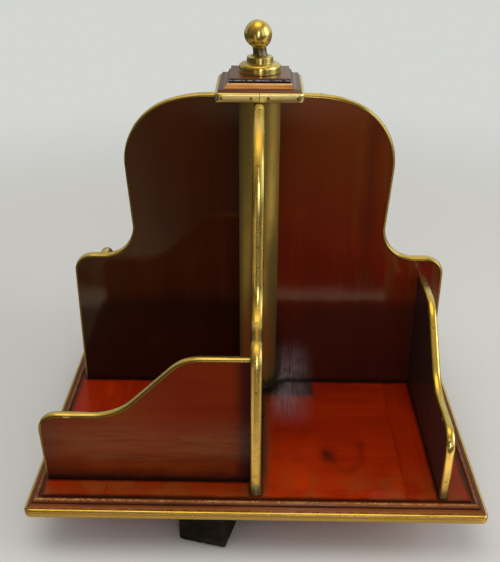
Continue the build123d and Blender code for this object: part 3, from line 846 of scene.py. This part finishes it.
def foot_grime_and_shade(m):
    """Dirt and old polish with painted shade in the corners where an upright panel meets the floor and the column."""
    x, y, z = m.split()
    ragged = m.calc("MULTIPLY", m.noise(m.place, 9 * mm, 4.0, 0.65, 40.0), 7 * mm)
    height = m.calc("SUBTRACT", z, floor_level)
    # Dirt with painted shade: darker at the foot of the panel and in the corner by the column
    foot = m.span(m.calc("SUBTRACT", height, ragged), -2 * mm, 3 * mm, 0.85, 0.0)
    reach = m.calc("SQRT", m.calc("ADD", m.calc("MULTIPLY", x, x), m.calc("MULTIPLY", y, y)))
    beside = m.calc("SUBTRACT", reach, 17 * mm)
    corner = m.span(m.calc("SUBTRACT", beside, ragged), -2 * mm, 6 * mm, 0.8, 0.0)
    low = m.span(height, 20 * mm, 90 * mm, 1.0, 0.25)
    return m.calc("MAXIMUM", foot, m.calc("MULTIPLY", corner, low))


def turned_reach(m):
    """How far a point of the tray floor lies out towards the gallery of its quarter."""
    x, y, z = m.split()
    same = m.calc("GREATER_THAN", m.calc("MULTIPLY", x, y), 0.0)
    other = m.calc("SUBTRACT", 1.0, same)
    deep = m.calc("MULTIPLY", m.calc("ABSOLUTE", y), same)
    return m.calc("ADD", deep, m.calc("MULTIPLY", m.calc("ABSOLUTE", x), other))


def board_grime_and_shade(m):
    """Dirt with painted shade along the feet of the panels and round the column, and dirt in the joints between the
    boards.
    """
    x, y, z = m.split()
    ragged = m.calc("MULTIPLY", m.noise(m.place, 11 * mm, 4.0, 0.65, 41.0), 7 * mm)
    across = m.calc("ABSOLUTE", x)
    deep = m.calc("ABSOLUTE", y)
    at_gallery = m.calc("ABSOLUTE", m.calc("SUBTRACT", turned_reach(m), gallery_place))
    at_gallery = m.calc("SUBTRACT", at_gallery, gallery_half)
    at_divider = m.calc("SUBTRACT", m.calc("MINIMUM", across, deep), divider_half)
    at_edge = m.calc("SUBTRACT", field_half, m.calc("MAXIMUM", across, deep))
    gap = m.calc("MINIMUM", m.calc("MINIMUM", at_gallery, at_divider), at_edge)
    # Dirt with painted shade along the feet of the panels
    line = m.span(m.calc("SUBTRACT", gap, m.calc("MULTIPLY", ragged, 0.6)), -2.2 * mm, 1.6 * mm, 0.75, 0.0)
    reach = m.calc("SQRT", m.calc("ADD", m.calc("MULTIPLY", x, x), m.calc("MULTIPLY", y, y)))
    foot = m.span(m.calc("SUBTRACT", reach, m.calc("MULTIPLY", ragged, 3.0)), 10 * mm, 22 * mm, 0.85, 0.0)
    return m.calc("MAXIMUM", m.calc("MAXIMUM", line, foot), m.calc("MULTIPLY", board_seam(m), 0.7))


def board_seam(m):
    """The joints between the boards, opened a little here and there."""
    open_here = m.span(m.noise(m.place, 24 * mm, 2.0, 0.5, 43.0), 0.40, 0.58, 0.25, 1.0)
    return m.calc("MULTIPLY", m.near(m.calc("ABSOLUTE", m.split()[0]), joint_place, 0.6 * mm), open_here)


def floor_marks(m):
    """A knot with its neighbour, a worn front edge, a dark patch beside the column, a painted hazy reflection in front
    of it, and a painted shadow beside the front divider.
    """
    x, y, z = m.split()
    uneven = m.span(m.noise(m.place, 8 * mm, 2.0, 0.5, 48.0), 0.35, 0.65, 0.7, 1.3)
    knot = m.calc("MULTIPLY", m.calc("MULTIPLY", m.spot(60 * mm, -113 * mm, 12 * mm, 0.75), uneven), 1.0, True)
    little = m.calc("MULTIPLY", m.calc("MULTIPLY", m.spot(87 * mm, -100 * mm, 8 * mm, 0.5), uneven), 0.7, True)
    x_share = m.calc("DIVIDE", m.calc("SUBTRACT", x, 75 * mm), 13 * mm)
    y_share = m.calc("DIVIDE", m.calc("SUBTRACT", y, -111 * mm), 21 * mm)
    arc = m.calc("SQRT", m.calc("ADD", m.calc("MULTIPLY", x_share, x_share), m.calc("MULTIPLY", y_share, y_share)))
    arc = m.calc("ADD", arc, m.calc("MULTIPLY", m.calc("SUBTRACT", uneven, 1.0), 0.12))
    arc = m.calc("MULTIPLY", m.near(arc, 1.0, 0.34), m.span(y, -98 * mm, -114 * mm))
    arc = m.calc("MULTIPLY", m.calc("MULTIPLY", arc, uneven), 0.5, True)
    worn = m.calc("MULTIPLY", m.spot(26 * mm, -132 * mm, 52 * mm, 0.9), m.span(x, 0.0, 8 * mm))
    front = m.calc("MULTIPLY", y, -1.0)
    mottle = m.noise(m.place, 20 * mm, 3.0, 0.55, 44.0)
    brown = m.calc("MULTIPLY", m.span(front, 118 * mm, 160 * mm), m.span(mottle, 0.42, 0.60))
    outside = m.calc("SUBTRACT", turned_reach(m), gallery_place + gallery_half)
    outside = m.calc("MULTIPLY", m.span(outside, 0.0, 6 * mm), m.span(mottle, 0.30, 0.60, 0.35, 0.85))
    dark = m.calc("MULTIPLY", m.span(m.noise(m.place, 46 * mm, 2.0, 0.5, 45.0), 0.50, 0.64), 0.35)
    ragged = m.calc("MULTIPLY", m.calc("SUBTRACT", m.noise(m.place, 7 * mm, 4.0, 0.6, 46.0), 0.5), 9 * mm)
    # A dark patch in the corner between the column and the front divider
    dark_corner_patch = m.calc("MULTIPLY", m.span(m.calc("ADD", x, ragged), 54 * mm, 49 * mm), m.span(x, 0.0, 1 * mm))
    dark_corner_patch = m.calc("MULTIPLY", dark_corner_patch, m.span(m.calc("ADD", front, ragged), 31 * mm, 23 * mm))
    dark_corner_patch = m.calc("MULTIPLY", dark_corner_patch, m.span(front, 0.0, 1 * mm))
    # Painted shadow with dirt beside the front divider
    beside = m.calc("MULTIPLY", m.span(m.calc("ADD", x, ragged), 13 * mm, 7 * mm), m.span(x, 0.0, 1 * mm))
    beside = m.calc("MULTIPLY", beside, m.calc("MULTIPLY", m.span(front, 172 * mm, 130 * mm), m.span(front, 0.0, 9 * mm)))
    # Painted reflection: a hazy, streaked pale patch in front of the column
    streaks = m.noise(m.combine(x, m.calc("MULTIPLY", y, 0.12), z), 2.6 * mm, 2.0, 0.5, 47.0)
    painted_haze = m.calc("MULTIPLY", m.span(front, 80 * mm, 24 * mm), m.span(x, 56 * mm, 26 * mm))
    painted_haze = m.calc("MULTIPLY", m.calc("MULTIPLY", painted_haze, m.span(x, 10 * mm, 20 * mm)), m.span(front, 0.0, 1 * mm))
    painted_haze = m.calc("MULTIPLY", painted_haze, m.span(streaks, 0.30, 0.70, 0.26, 0.60))
    return [
        (m.calc("MULTIPLY", worn, 0.75), (0.600, 0.0400, 0.0020)),
        (m.calc("MULTIPLY", arc, 0.75), (0.140, 0.0120, 0.0020)),
        (m.calc("MULTIPLY", knot, 0.82), (0.045, 0.0060, 0.0020)),
        (m.calc("MULTIPLY", little, 0.6), (0.090, 0.0090, 0.0020)),
        (dark, (0.220, 0.0090, 0.0010)),
        (outside, (0.170, 0.0340, 0.0060)),
        (m.calc("MULTIPLY", brown, 0.65), (0.300, 0.0560, 0.0080)),
        (m.calc("MULTIPLY", dark_corner_patch, 0.94), (0.034, 0.012, 0.011)),
        (m.calc("MULTIPLY", beside, 0.85), (0.085, 0.0330, 0.0120)),
        (painted_haze, (0.370, 0.310, 0.320)),
    ]


def moulding_marks(worn):
    """Worn polish with painted highlights and small painted glints on the bead, lighter wood in the cove, black dirt in
    the quirk and mitres.
    """
    # worn scales the wear and the painted highlights; the side rails take less
    def marks(m):
        x, y, z = m.split()
        across = m.calc("ABSOLUTE", x)
        deep = m.calc("ABSOLUTE", y)
        reach = m.calc("MAXIMUM", across, deep)
        patchy = m.span(m.noise(m.place, 6 * mm, 4.0, 0.7, 50.0), 0.44, 0.60)
        # Wear with a painted highlight along the bead
        bead = m.calc("MULTIPLY", m.near(reach, bead_place, 2.3 * mm), m.calc("MAXIMUM", patchy, 0.3))
        quirk = m.span(reach, field_half + quirk_width * 0.7, field_half + quirk_width * 1.5, 1.0, 0.0)
        # Painted highlights: small bright spots along the bead
        painted_glint = m.span(m.noise(m.place, 1.8 * mm, 3.0, 0.6, 51.0), 0.52, 0.62)
        painted_glint = m.calc("MULTIPLY", painted_glint, m.near(reach, bead_place, 1.0 * mm))
        groove = m.near(reach, bead_place + bead_radius + 0.3 * mm, 0.9 * mm)
        mitre = m.near(m.calc("SUBTRACT", across, deep), 0.0, 0.5 * mm)
        dirt = m.calc("MAXIMUM", m.calc("MAXIMUM", m.calc("MULTIPLY", quirk, 0.6), groove), mitre)
        cove = m.span(reach, bead_place + 3.4 * mm, bead_place + 4.2 * mm)
        edge = m.calc("MULTIPLY", m.span(reach, frame_half - 1.6 * mm, frame_half - 0.3 * mm), patchy)
        return [
            (m.calc("MULTIPLY", cove, 0.6 * worn), (0.215, 0.0600, 0.0140)),
            (m.calc("MULTIPLY", bead, 0.8 * worn), (0.560, 0.240, 0.070)),
            (m.calc("MULTIPLY", painted_glint, 0.6 * worn * worn), (0.850, 0.560, 0.250)),
            (m.calc("MULTIPLY", edge, 0.6 * worn), (0.420, 0.170, 0.060)),
            (m.calc("MULTIPLY", dirt, 0.85), (0.006, 0.003, 0.002)),
        ]
    return marks


def cap_marks(m):
    """Painted light: orange on the cove's front and back faces where it catches the light, with a painted highlight
    along its top; a pinker step; a dark edge on the top plate with a dotted painted highlight.
    """
    x, y, z = m.split()
    # Painted light: the front and back faces lit, the sides left darker
    lit_faces = m.span(m.calc("SUBTRACT", m.calc("ABSOLUTE", y), m.calc("ABSOLUTE", x)), -0.4 * mm, 0.4 * mm)
    patchy = m.span(m.noise(m.combine(m.calc("MULTIPLY", x, 0.35), y, z), 5 * mm, 3.0, 0.6, 52.0), 0.40, 0.60, 0.60, 1.0)
    step_top = cap_level + cap_band_height + cap_step_height
    under_plate = m.span(z, block_top, block_top - 0.2 * mm)
    cove = m.calc("MULTIPLY", m.span(z, step_top - 0.2 * mm, step_top + 0.5 * mm), under_plate)
    # Painted highlight along the top of the cove
    bright = m.calc("MULTIPLY", m.span(z, block_top - 2.0 * mm, block_top - 1.1 * mm), under_plate)
    step = m.span(z, step_top - 0.5 * mm, step_top - 0.9 * mm)
    line = m.near(z, step_top - 0.1 * mm, 0.5 * mm)
    edge = m.calc("MULTIPLY", m.span(z, block_top - 0.2 * mm, block_top), m.span(z, plate_top - 0.1 * mm, plate_top - 0.6 * mm))
    # Painted highlight: a dotted pale line along the middle of the top plate's edge
    rubbed = m.span(m.noise(m.place, 1.5 * mm, 2.0, 0.6, 53.0), 0.42, 0.56)
    rubbed = m.calc("MULTIPLY", rubbed, m.near(z, (block_top + plate_top) / 2, 0.55 * mm))
    return [
        (m.calc("MULTIPLY", cove, 0.8), (0.130, 0.038, 0.020)),
        (m.calc("MULTIPLY", m.calc("MULTIPLY", cove, lit_faces), patchy), (0.560, 0.205, 0.045)),
        (m.calc("MULTIPLY", m.calc("MULTIPLY", bright, lit_faces), patchy), (0.900, 0.520, 0.170)),
        (m.calc("MULTIPLY", step, 0.8), (0.230, 0.090, 0.050)),
        (m.calc("MULTIPLY", line, 0.8), (0.045, 0.014, 0.007)),
        (m.calc("MULTIPLY", edge, 0.9), (0.012, 0.008, 0.010)),
        (m.calc("MULTIPLY", rubbed, 0.85), (0.620, 0.520, 0.560)),
    ]


def brass(name, bright, dull, seed, polish=0.26, dirt=0.35, specked=0.3, dented=0.3, metal=0.94, rubbed=0.75,
          turned_by=0.0, scratched=0.2, middle=None, half=0.0, foot=False, rim=False, neck=False, seam=False, banded=False):
    """Old polished brass, tarnished in clouds and specks, softly dented and rubbed in one direction.

    With turned_by at 0 the highlights stretch round the rack, and at 0.25 along its uprights.
    """
    m = Maker(name, Metallic=metal, Anisotropic=rubbed, Anisotropic_Rotation=turned_by)
    m.set("Tangent", m.add("Tangent", direction_type="RADIAL", axis="Z").outputs[0])
    height = m.split()[2]
    cloud = m.noise(m.place, 18 * mm, 3.0, 0.5, seed)
    tarnish = m.span(cloud, 0.42, 0.70)
    colour = m.mix(m.calc("MULTIPLY", tarnish, dirt), bright, dull)
    specks = m.span(m.noise(m.place, 2.2 * mm, 3.0, 0.6, seed + 1), 0.66, 0.76)
    colour = m.mix(m.calc("MULTIPLY", specks, specked), colour, (0.10, 0.060, 0.022))
    wear = m.calc("ADD", m.calc("MULTIPLY", cloud, 0.6), m.calc("MULTIPLY", specks, 0.5 * specked))
    rough = m.span(wear, 0.2, 0.6, polish, polish + 0.14)
    dark = []
    if foot:
        ragged = m.calc("MULTIPLY", m.noise(m.place, 6 * mm, 4.0, 0.6, seed + 5), 14 * mm)
        dark.append(m.span(m.calc("SUBTRACT", m.calc("SUBTRACT", height, floor_level), ragged), -2 * mm, 7 * mm, 0.8, 0.0))
    if neck:
        above = m.span(height, finial_level + ring_top - 0.2 * mm, finial_level + ring_top + 0.8 * mm)
        below = m.span(height, finial_level + neck_height + 4.6 * mm, finial_level + neck_height + 3.0 * mm)
        dark.append(m.calc("MULTIPLY", m.calc("MULTIPLY", above, below), 0.88))
        dark.append(m.calc("MULTIPLY", m.near(height, finial_level + ring_base, 0.3 * mm), 0.7))
    # Tarnish with painted shade: the strips darkened along their edges
    if middle is not None:
        offsets = [m.calc("ABSOLUTE", m.calc("SUBTRACT", m.calc("ABSOLUTE", axis), middle)) for axis in m.split()[:2]]
        edges = m.span(m.calc("MINIMUM", *offsets), 0.58 * half, 0.98 * half, 0.0, 0.85)
        colour = m.mix(edges, colour, (0.170, 0.108, 0.020))
    # Painted reflection: a darker band just below the upper edge of the tray's bands
    if banded:
        share = m.calc("DIVIDE", m.calc("SUBTRACT", height, base_height), band_height)
        painted_dark_band = m.calc("MULTIPLY", m.span(share, 0.46, 0.66), m.span(share, 0.97, 0.88))
        colour = m.mix(m.calc("MULTIPLY", painted_dark_band, 0.72), colour, (0.240, 0.125, 0.030))
    if seam:
        dark.append(m.calc("MULTIPLY", m.near(m.split()[0], 0.0, 0.5 * mm), 0.9))
    for mask in dark:
        colour = m.mix(mask, colour, (0.110, 0.096, 0.062))
        rough = m.calc("ADD", rough, m.calc("MULTIPLY", mask, 0.2))
    if rim:
        mark = m.add("Attribute", attribute_name="rim").outputs["Fac"]
        colour = m.mix(m.calc("MULTIPLY", mark, 0.85), colour, (0.045, 0.025, 0.010))
    m.set("Base Color", colour)
    m.set("Roughness", rough)
    rubs = (0.12, 1.0) if turned_by == 0 else (1.0, 0.12)
    run = [m.calc("MULTIPLY", part, share) for part, share in zip(m.split(), (rubs[0], rubs[0], rubs[1]))]
    scratches = m.noise(m.combine(*run), 0.5 * mm, 2.0, 0.5, seed + 2)
    dents = m.noise(m.place, 7 * mm, 2.0, 0.5, seed + 3)
    m.set("Normal", m.bump(scratches, 0.010 * mm, scratched, m.bump(dents, 0.06 * mm, dented)))
    return m.material


def plain(name, colour, spread, roughness, metallic, size, seed):
    """Hidden metal or felt: a mottled colour with uneven roughness."""
    m = Maker(name, Metallic=metallic)
    mottle = m.noise(m.place, size, 5.0, 0.65, seed)
    m.set("Base Color", m.ramp(mottle, (0.3, tuple(c * (1 - spread) for c in colour)), (0.7, colour)))
    m.set("Roughness", m.span(mottle, 0.3, 0.7, roughness, roughness + 0.2))
    m.set("Normal", m.bump(mottle, 0.1 * mm, 0.3))
    return m.material


def dress(material, *names):
    """Gives frame nodes their material."""
    for name in names:
        mesh = nodes[name].data
        mesh.materials.clear()
        mesh.materials.append(material)


def dress_wood():
    for seed, side in enumerate(sides):
        # Painted shade: the left and front dividers take the darker tones and dimmed marks
        tones = {"left": shaded_tones, "front": front_shaded_tones}.get(side, divider_tones)
        marks = {"left": shaded_marks, "front": shaded_marks, "right": painted_haze_marks}.get(side, divider_marks)
        coat = front_coat if side == "front" else 0.5
        panel = wood(f"divider_mahogany_{side}", "Z", tones, 3.0 * seed, foot_grime_and_shade, marks, 0.08, coat)
        dress(panel, f"divider_{side}")
        along = "Y" if side in ("right", "left") else "X"
        marks = inner_shade_marks if side == "right" else gallery_marks(along)
        wall = wood(f"gallery_mahogany_{side}", along, gallery_tones, 20 + 3.0 * seed, foot_grime_and_shade, marks, 0.08,
                    gallery_coat)
        dress(wall, f"gallery_{side}")
    for seed, side in enumerate(("left", "centre", "right")):
        along = "X" if side == "centre" else "Y"
        board = wood(f"board_mahogany_{side}", along, floor_tones, 60 + 3.0 * seed, board_grime_and_shade, floor_marks, 0.08, board_coat)
        dress(board, f"tray_board_{side}")


bright_brass = (0.680, 0.530, 0.165)
dull_brass = (0.290, 0.210, 0.060)
pale_brass = (0.800, 0.690, 0.320)
column_bright = (0.430, 0.330, 0.090)
column_dull = (0.350, 0.255, 0.065)


def dress_hidden():
    plate = brass("plate_brass", bright_brass, dull_brass, 80.0, 0.28, 0.9, 0.6)
    dress(plate, "base_thrust_plate", "tray_thrust_plate", "thrust_washer", "lower_bush", "upper_bush")
    screws = plain("screw_brass", (0.50, 0.36, 0.12), 0.5, 0.35, 1.0, 2 * mm, 81.0)
    dress(screws, "base_plate_screws", "tray_plate_screws", "cap_screws")
    dress(plain("spindle_steel", (0.42, 0.42, 0.43), 0.4, 0.3, 1.0, 5 * mm, 82.0), "spindle", "spindle_washer", "spindle_nut")
    dress(plain("foot_felt", (0.035, 0.040, 0.028), 0.5, 0.9, 0.0, 1 * mm, 83.0), "foot_pads")


def add_camera():
    """The photograph's viewpoint."""
    pitch = math.radians(camera_pitch_deg)
    yaw = math.radians(camera_yaw_deg)
    roll = math.radians(camera_roll_deg)
    forward = Vector((math.sin(yaw) * math.cos(pitch), math.cos(yaw) * math.cos(pitch), -math.sin(pitch)))
    level = Vector((forward.y, -forward.x, 0)).normalized()
    upright = level.cross(forward)
    right = level * math.cos(roll) + upright * math.sin(roll)
    up = upright * math.cos(roll) - level * math.sin(roll)
    data = bpy.data.cameras.new("camera")
    data.sensor_width = sensor_mm
    data.lens = focal_length_px * sensor_mm / frame_height_px
    camera = bpy.data.objects.new("camera", data)
    turn = Matrix((right, up, -forward)).transposed().to_4x4()
    camera.matrix_world = Matrix.Translation(camera_place) @ turn
    bpy.context.scene.collection.objects.link(camera)
    bpy.context.scene.camera = camera


# Studio
floor_radius = 8.0
pale_near = (0.80, 0.785, 0.745)
pale_far = (0.66, 0.67, 0.645)
table_edge = -0.295
table_fade = 0.02
table_near = -0.235
table_near_light = 0.85
table_rim_light = 3.0
front_dimness = 0.06
beyond_edge = -1.0
beyond_fade = 0.25
beyond_light = 1.7
left_light = 1.3
right_light = 1.6
warm = (0.88, 0.67, 0.44)
warm_room = (0.88, 0.64, 0.21)
cool = (0.92, 1.00, 1.00)


def add_floor():
    """A plain pale floor, real and shadowed near the rack and evenly pale far away; in the gloss alone it carries
    painted pools of light, a bright table rim and a dim front.
    """
    mesh = bpy.data.meshes.new("floor")
    work = bmesh.new()
    bmesh.ops.create_circle(work, cap_ends=True, segments=96, radius=floor_radius)
    work.to_mesh(mesh)
    work.free()
    floor = bpy.data.objects.new("floor", mesh)
    bpy.context.scene.collection.objects.link(floor)
    m = Maker("pale_floor", Roughness=0.8, Specular_IOR_Level=0.2)
    x, y, z = m.split()
    reach = m.calc("SQRT", m.calc("ADD", m.calc("MULTIPLY", x, x), m.calc("MULTIPLY", y, y)))
    path = m.add("LightPath")
    # Painted light, seen only in the gloss: a bright rim, pools of light and a dim front beyond the table edge
    front = m.span(y, table_near, table_near - table_fade, table_near_light, table_rim_light)
    front = m.calc("MULTIPLY", front, m.span(y, table_edge - table_fade, table_edge + table_fade))
    front = m.calc("MAXIMUM", front, front_dimness)
    bearing = m.calc("MULTIPLY", m.calc("ARCTAN2", x, m.calc("MULTIPLY", y, -1.0)), 180 / math.pi)
    beyond = m.calc("MULTIPLY", m.near(bearing, 3.0, 18.0), beyond_light)
    beyond = m.calc("MULTIPLY", beyond, m.span(y, beyond_edge, beyond_edge - beyond_fade))
    leftward = m.calc("MULTIPLY", m.near(bearing, -24.0, 16.0), m.span(y, -0.26, -0.36, 0.0, left_light))
    rightward = m.calc("MULTIPLY", m.span(x, tray_half, tray_half + 0.06), m.near(y, -0.25, 0.12))
    rightward = m.calc("MULTIPLY", rightward, right_light)
    sideways = m.calc("ADD", m.span(bearing, -10.0, 20.0, 0.12, 0.42), m.calc("MULTIPLY", m.near(bearing, 72.0, 30.0), 0.9))
    front = m.calc("MULTIPLY", front, m.span(reach, 0.45, 0.70, 1.0, sideways))
    for pool in (beyond, leftward, rightward):
        front = m.calc("ADD", front, pool)
    shown = m.mix(path.outputs["Is Glossy Ray"], (1.0, 1.0, 1.0), m.mix(1.0, warm, front, "MULTIPLY"))
    m.set("Base Color", m.mix(1.0, pale_near, shown, "MULTIPLY"))
    far = m.add("Emission")
    m.feed(far.inputs["Color"], m.mix(1.0, pale_far, shown, "MULTIPLY"))
    m.feed(far.inputs["Strength"], m.calc("SUBTRACT", 1.0, m.calc("MULTIPLY", path.outputs["Is Diffuse Ray"], 0.5)))
    both = m.add("MixShader")
    m.feed(both.inputs[0], m.span(reach, 0.45, 1.3))
    m.feed(both.inputs[1], m.shader.outputs[0])
    m.feed(both.inputs[2], far.outputs[0])
    m.feed(m.tree.nodes["Material Output"].inputs["Surface"], both.outputs[0])
    mesh.materials.append(m.material)


def add_world():
    """Even fill for the surfaces, a pale backdrop, and for the gloss a warm room with tall pale windows."""
    world = bpy.data.worlds.new("studio")
    bpy.context.scene.world = world
    world.use_nodes = True
    m = Maker.__new__(Maker)
    m.tree = world.node_tree
    x, y, z = m.split(m.add("TexCoord").outputs["Generated"])
    bearing = m.calc("MULTIPLY", m.calc("ARCTAN2", x, m.calc("MULTIPLY", y, -1.0)), 180 / math.pi)
    walls = m.calc("ADD", 0.13, m.calc("MULTIPLY", m.near(bearing, -68.0, 24.0), 0.08))
    walls = m.calc("ADD", walls, m.span(z, 0.35, 0.95, 0.0, 0.45))
    walls = m.calc("ADD", walls, m.span(z, 0.90, 0.98, 0.0, 2.2))
    pale = m.span(y, 0.1, 0.6, 0.0, 0.40)
    lower = m.span(z, 0.75, 0.45)
    pale = m.calc("ADD", pale, m.calc("MULTIPLY", m.span(bearing, 8.0, 24.0, 0.0, 0.32), lower))
    for place, width, top, level in ((80.0, 34.0, 0.75, 3.2), (43.0, 9.0, 0.75, 1.6), (5.0, 9.0, 0.44, 5.5)):
        strip = m.calc("MULTIPLY", m.near(bearing, place, width), level)
        pale = m.calc("ADD", pale, m.calc("MULTIPLY", strip, m.span(z, top, 0.8 * top)))
    room = m.mix(1.0, m.mix(1.0, m.combine(walls, walls, walls), warm_room, "MULTIPLY"),
                 m.mix(1.0, m.combine(pale, pale, pale), cool, "MULTIPLY"), "ADD")
    path = m.add("LightPath")
    colour = m.mix(path.outputs["Is Glossy Ray"], (0.48, 0.48, 0.48), room)
    colour = m.mix(path.outputs["Is Camera Ray"], colour, pale_far)
    m.feed(m.tree.nodes["Background"].inputs["Color"], colour)


def add_lamp(name, place, aim, size, power, mirrored):
    """A soft rectangular lamp that the camera doesn't see, mirrored in the gloss or not."""
    data = bpy.data.lights.new(name, "AREA")
    data.shape = "RECTANGLE"
    data.size, data.size_y = size
    data.energy = power
    lamp = bpy.data.objects.new(name, data)
    lamp.location = place
    lamp.rotation_euler = (Vector(aim) - Vector(place)).to_track_quat("-Z", "Y").to_euler()
    lamp.visible_camera = False
    lamp.visible_glossy = mirrored
    bpy.context.scene.collection.objects.link(lamp)


def add_stage():
    add_floor()
    add_world()
    middle = (0, 0, 0.16)
    add_lamp("window", (1.5, -0.35, 0.75), middle, (0.5, 1.1), 8, False)
    add_lamp("ceiling_bounce", (-0.2, -0.5, 1.7), middle, (1.4, 1.0), 8, False)
    add_lamp("near_camera", (0.07, -0.67, 0.51), middle, (0.04, 0.12), 0.2, True)
    bpy.context.scene.view_settings.view_transform = "Standard"


add_camera()
add_stage()
strip_brass = brass("strip_brass", bright_brass, dull_brass, 70.0, 0.25, specked=0.15, dented=0.1, rubbed=0.85, turned_by=0.25, scratched=0.04,
                    middle=0.0, half=divider_strip_half, foot=True)
low_strip_brass = brass("low_strip_brass", bright_brass, dull_brass, 72.0, 0.22, specked=0.15, dented=0.12, rubbed=0.1, scratched=0.04,
                        middle=gallery_place, half=gallery_strip_half, foot=True)
turned_brass = brass("turned_brass", bright_brass, dull_brass, 73.0, 0.2, 0.35, 0.1, 0.03, turned_by=0.25, scratched=0.05, neck=True)
column_brass = brass("column_brass", column_bright, column_dull, 76.0, 0.34, 0.5, 0.05, 0.05, 0.82, foot=True)
pin_brass = brass("pin_brass", bright_brass, dull_brass, 78.0, rim=True)
cap_pin_brass = brass("cap_pin_brass", dull_brass, dull_brass, 79.0, 0.4, rim=True)
add_edgings(strip_brass, low_strip_brass)
add_bands(brass("band_brass", bright_brass, dull_brass, 71.0, 0.24, 0.15, 0.05, 0.04, scratched=0.04, banded=True), brass("cap_brass", pale_brass, dull_brass, 74.0, 0.28, 0.2, 0.15, 0.1, scratched=0.05, seam=True))
add_finial(turned_brass)
add_pins(pin_brass, cap_pin_brass)
# Painted shade: the side rails take dimmed copies of the moulding tones and fewer painted highlights
side_shaded_tones = tuple(tuple(0.6 * c for c in tone) for tone in moulding_tones)
add_rails(wood("moulding_mahogany", "X", moulding_tones, 90.0, None, moulding_marks(1.0), 0.2, 0.5),
          wood("shaded_side_moulding_mahogany", "Y", side_shaded_tones, 91.0, None, moulding_marks(0.35), 0.2, 0.35))
add_cap(wood("cap_mahogany", "X", cap_tones, 93.0, None, cap_marks, 0.12, 0.55))
add_base(wood("base_wood", "X", base_tones, 96.0, None, None, 0.5, 0.1, 2.0))
dress(column_brass, "column_tube")
dress_wood()
dress_hidden()
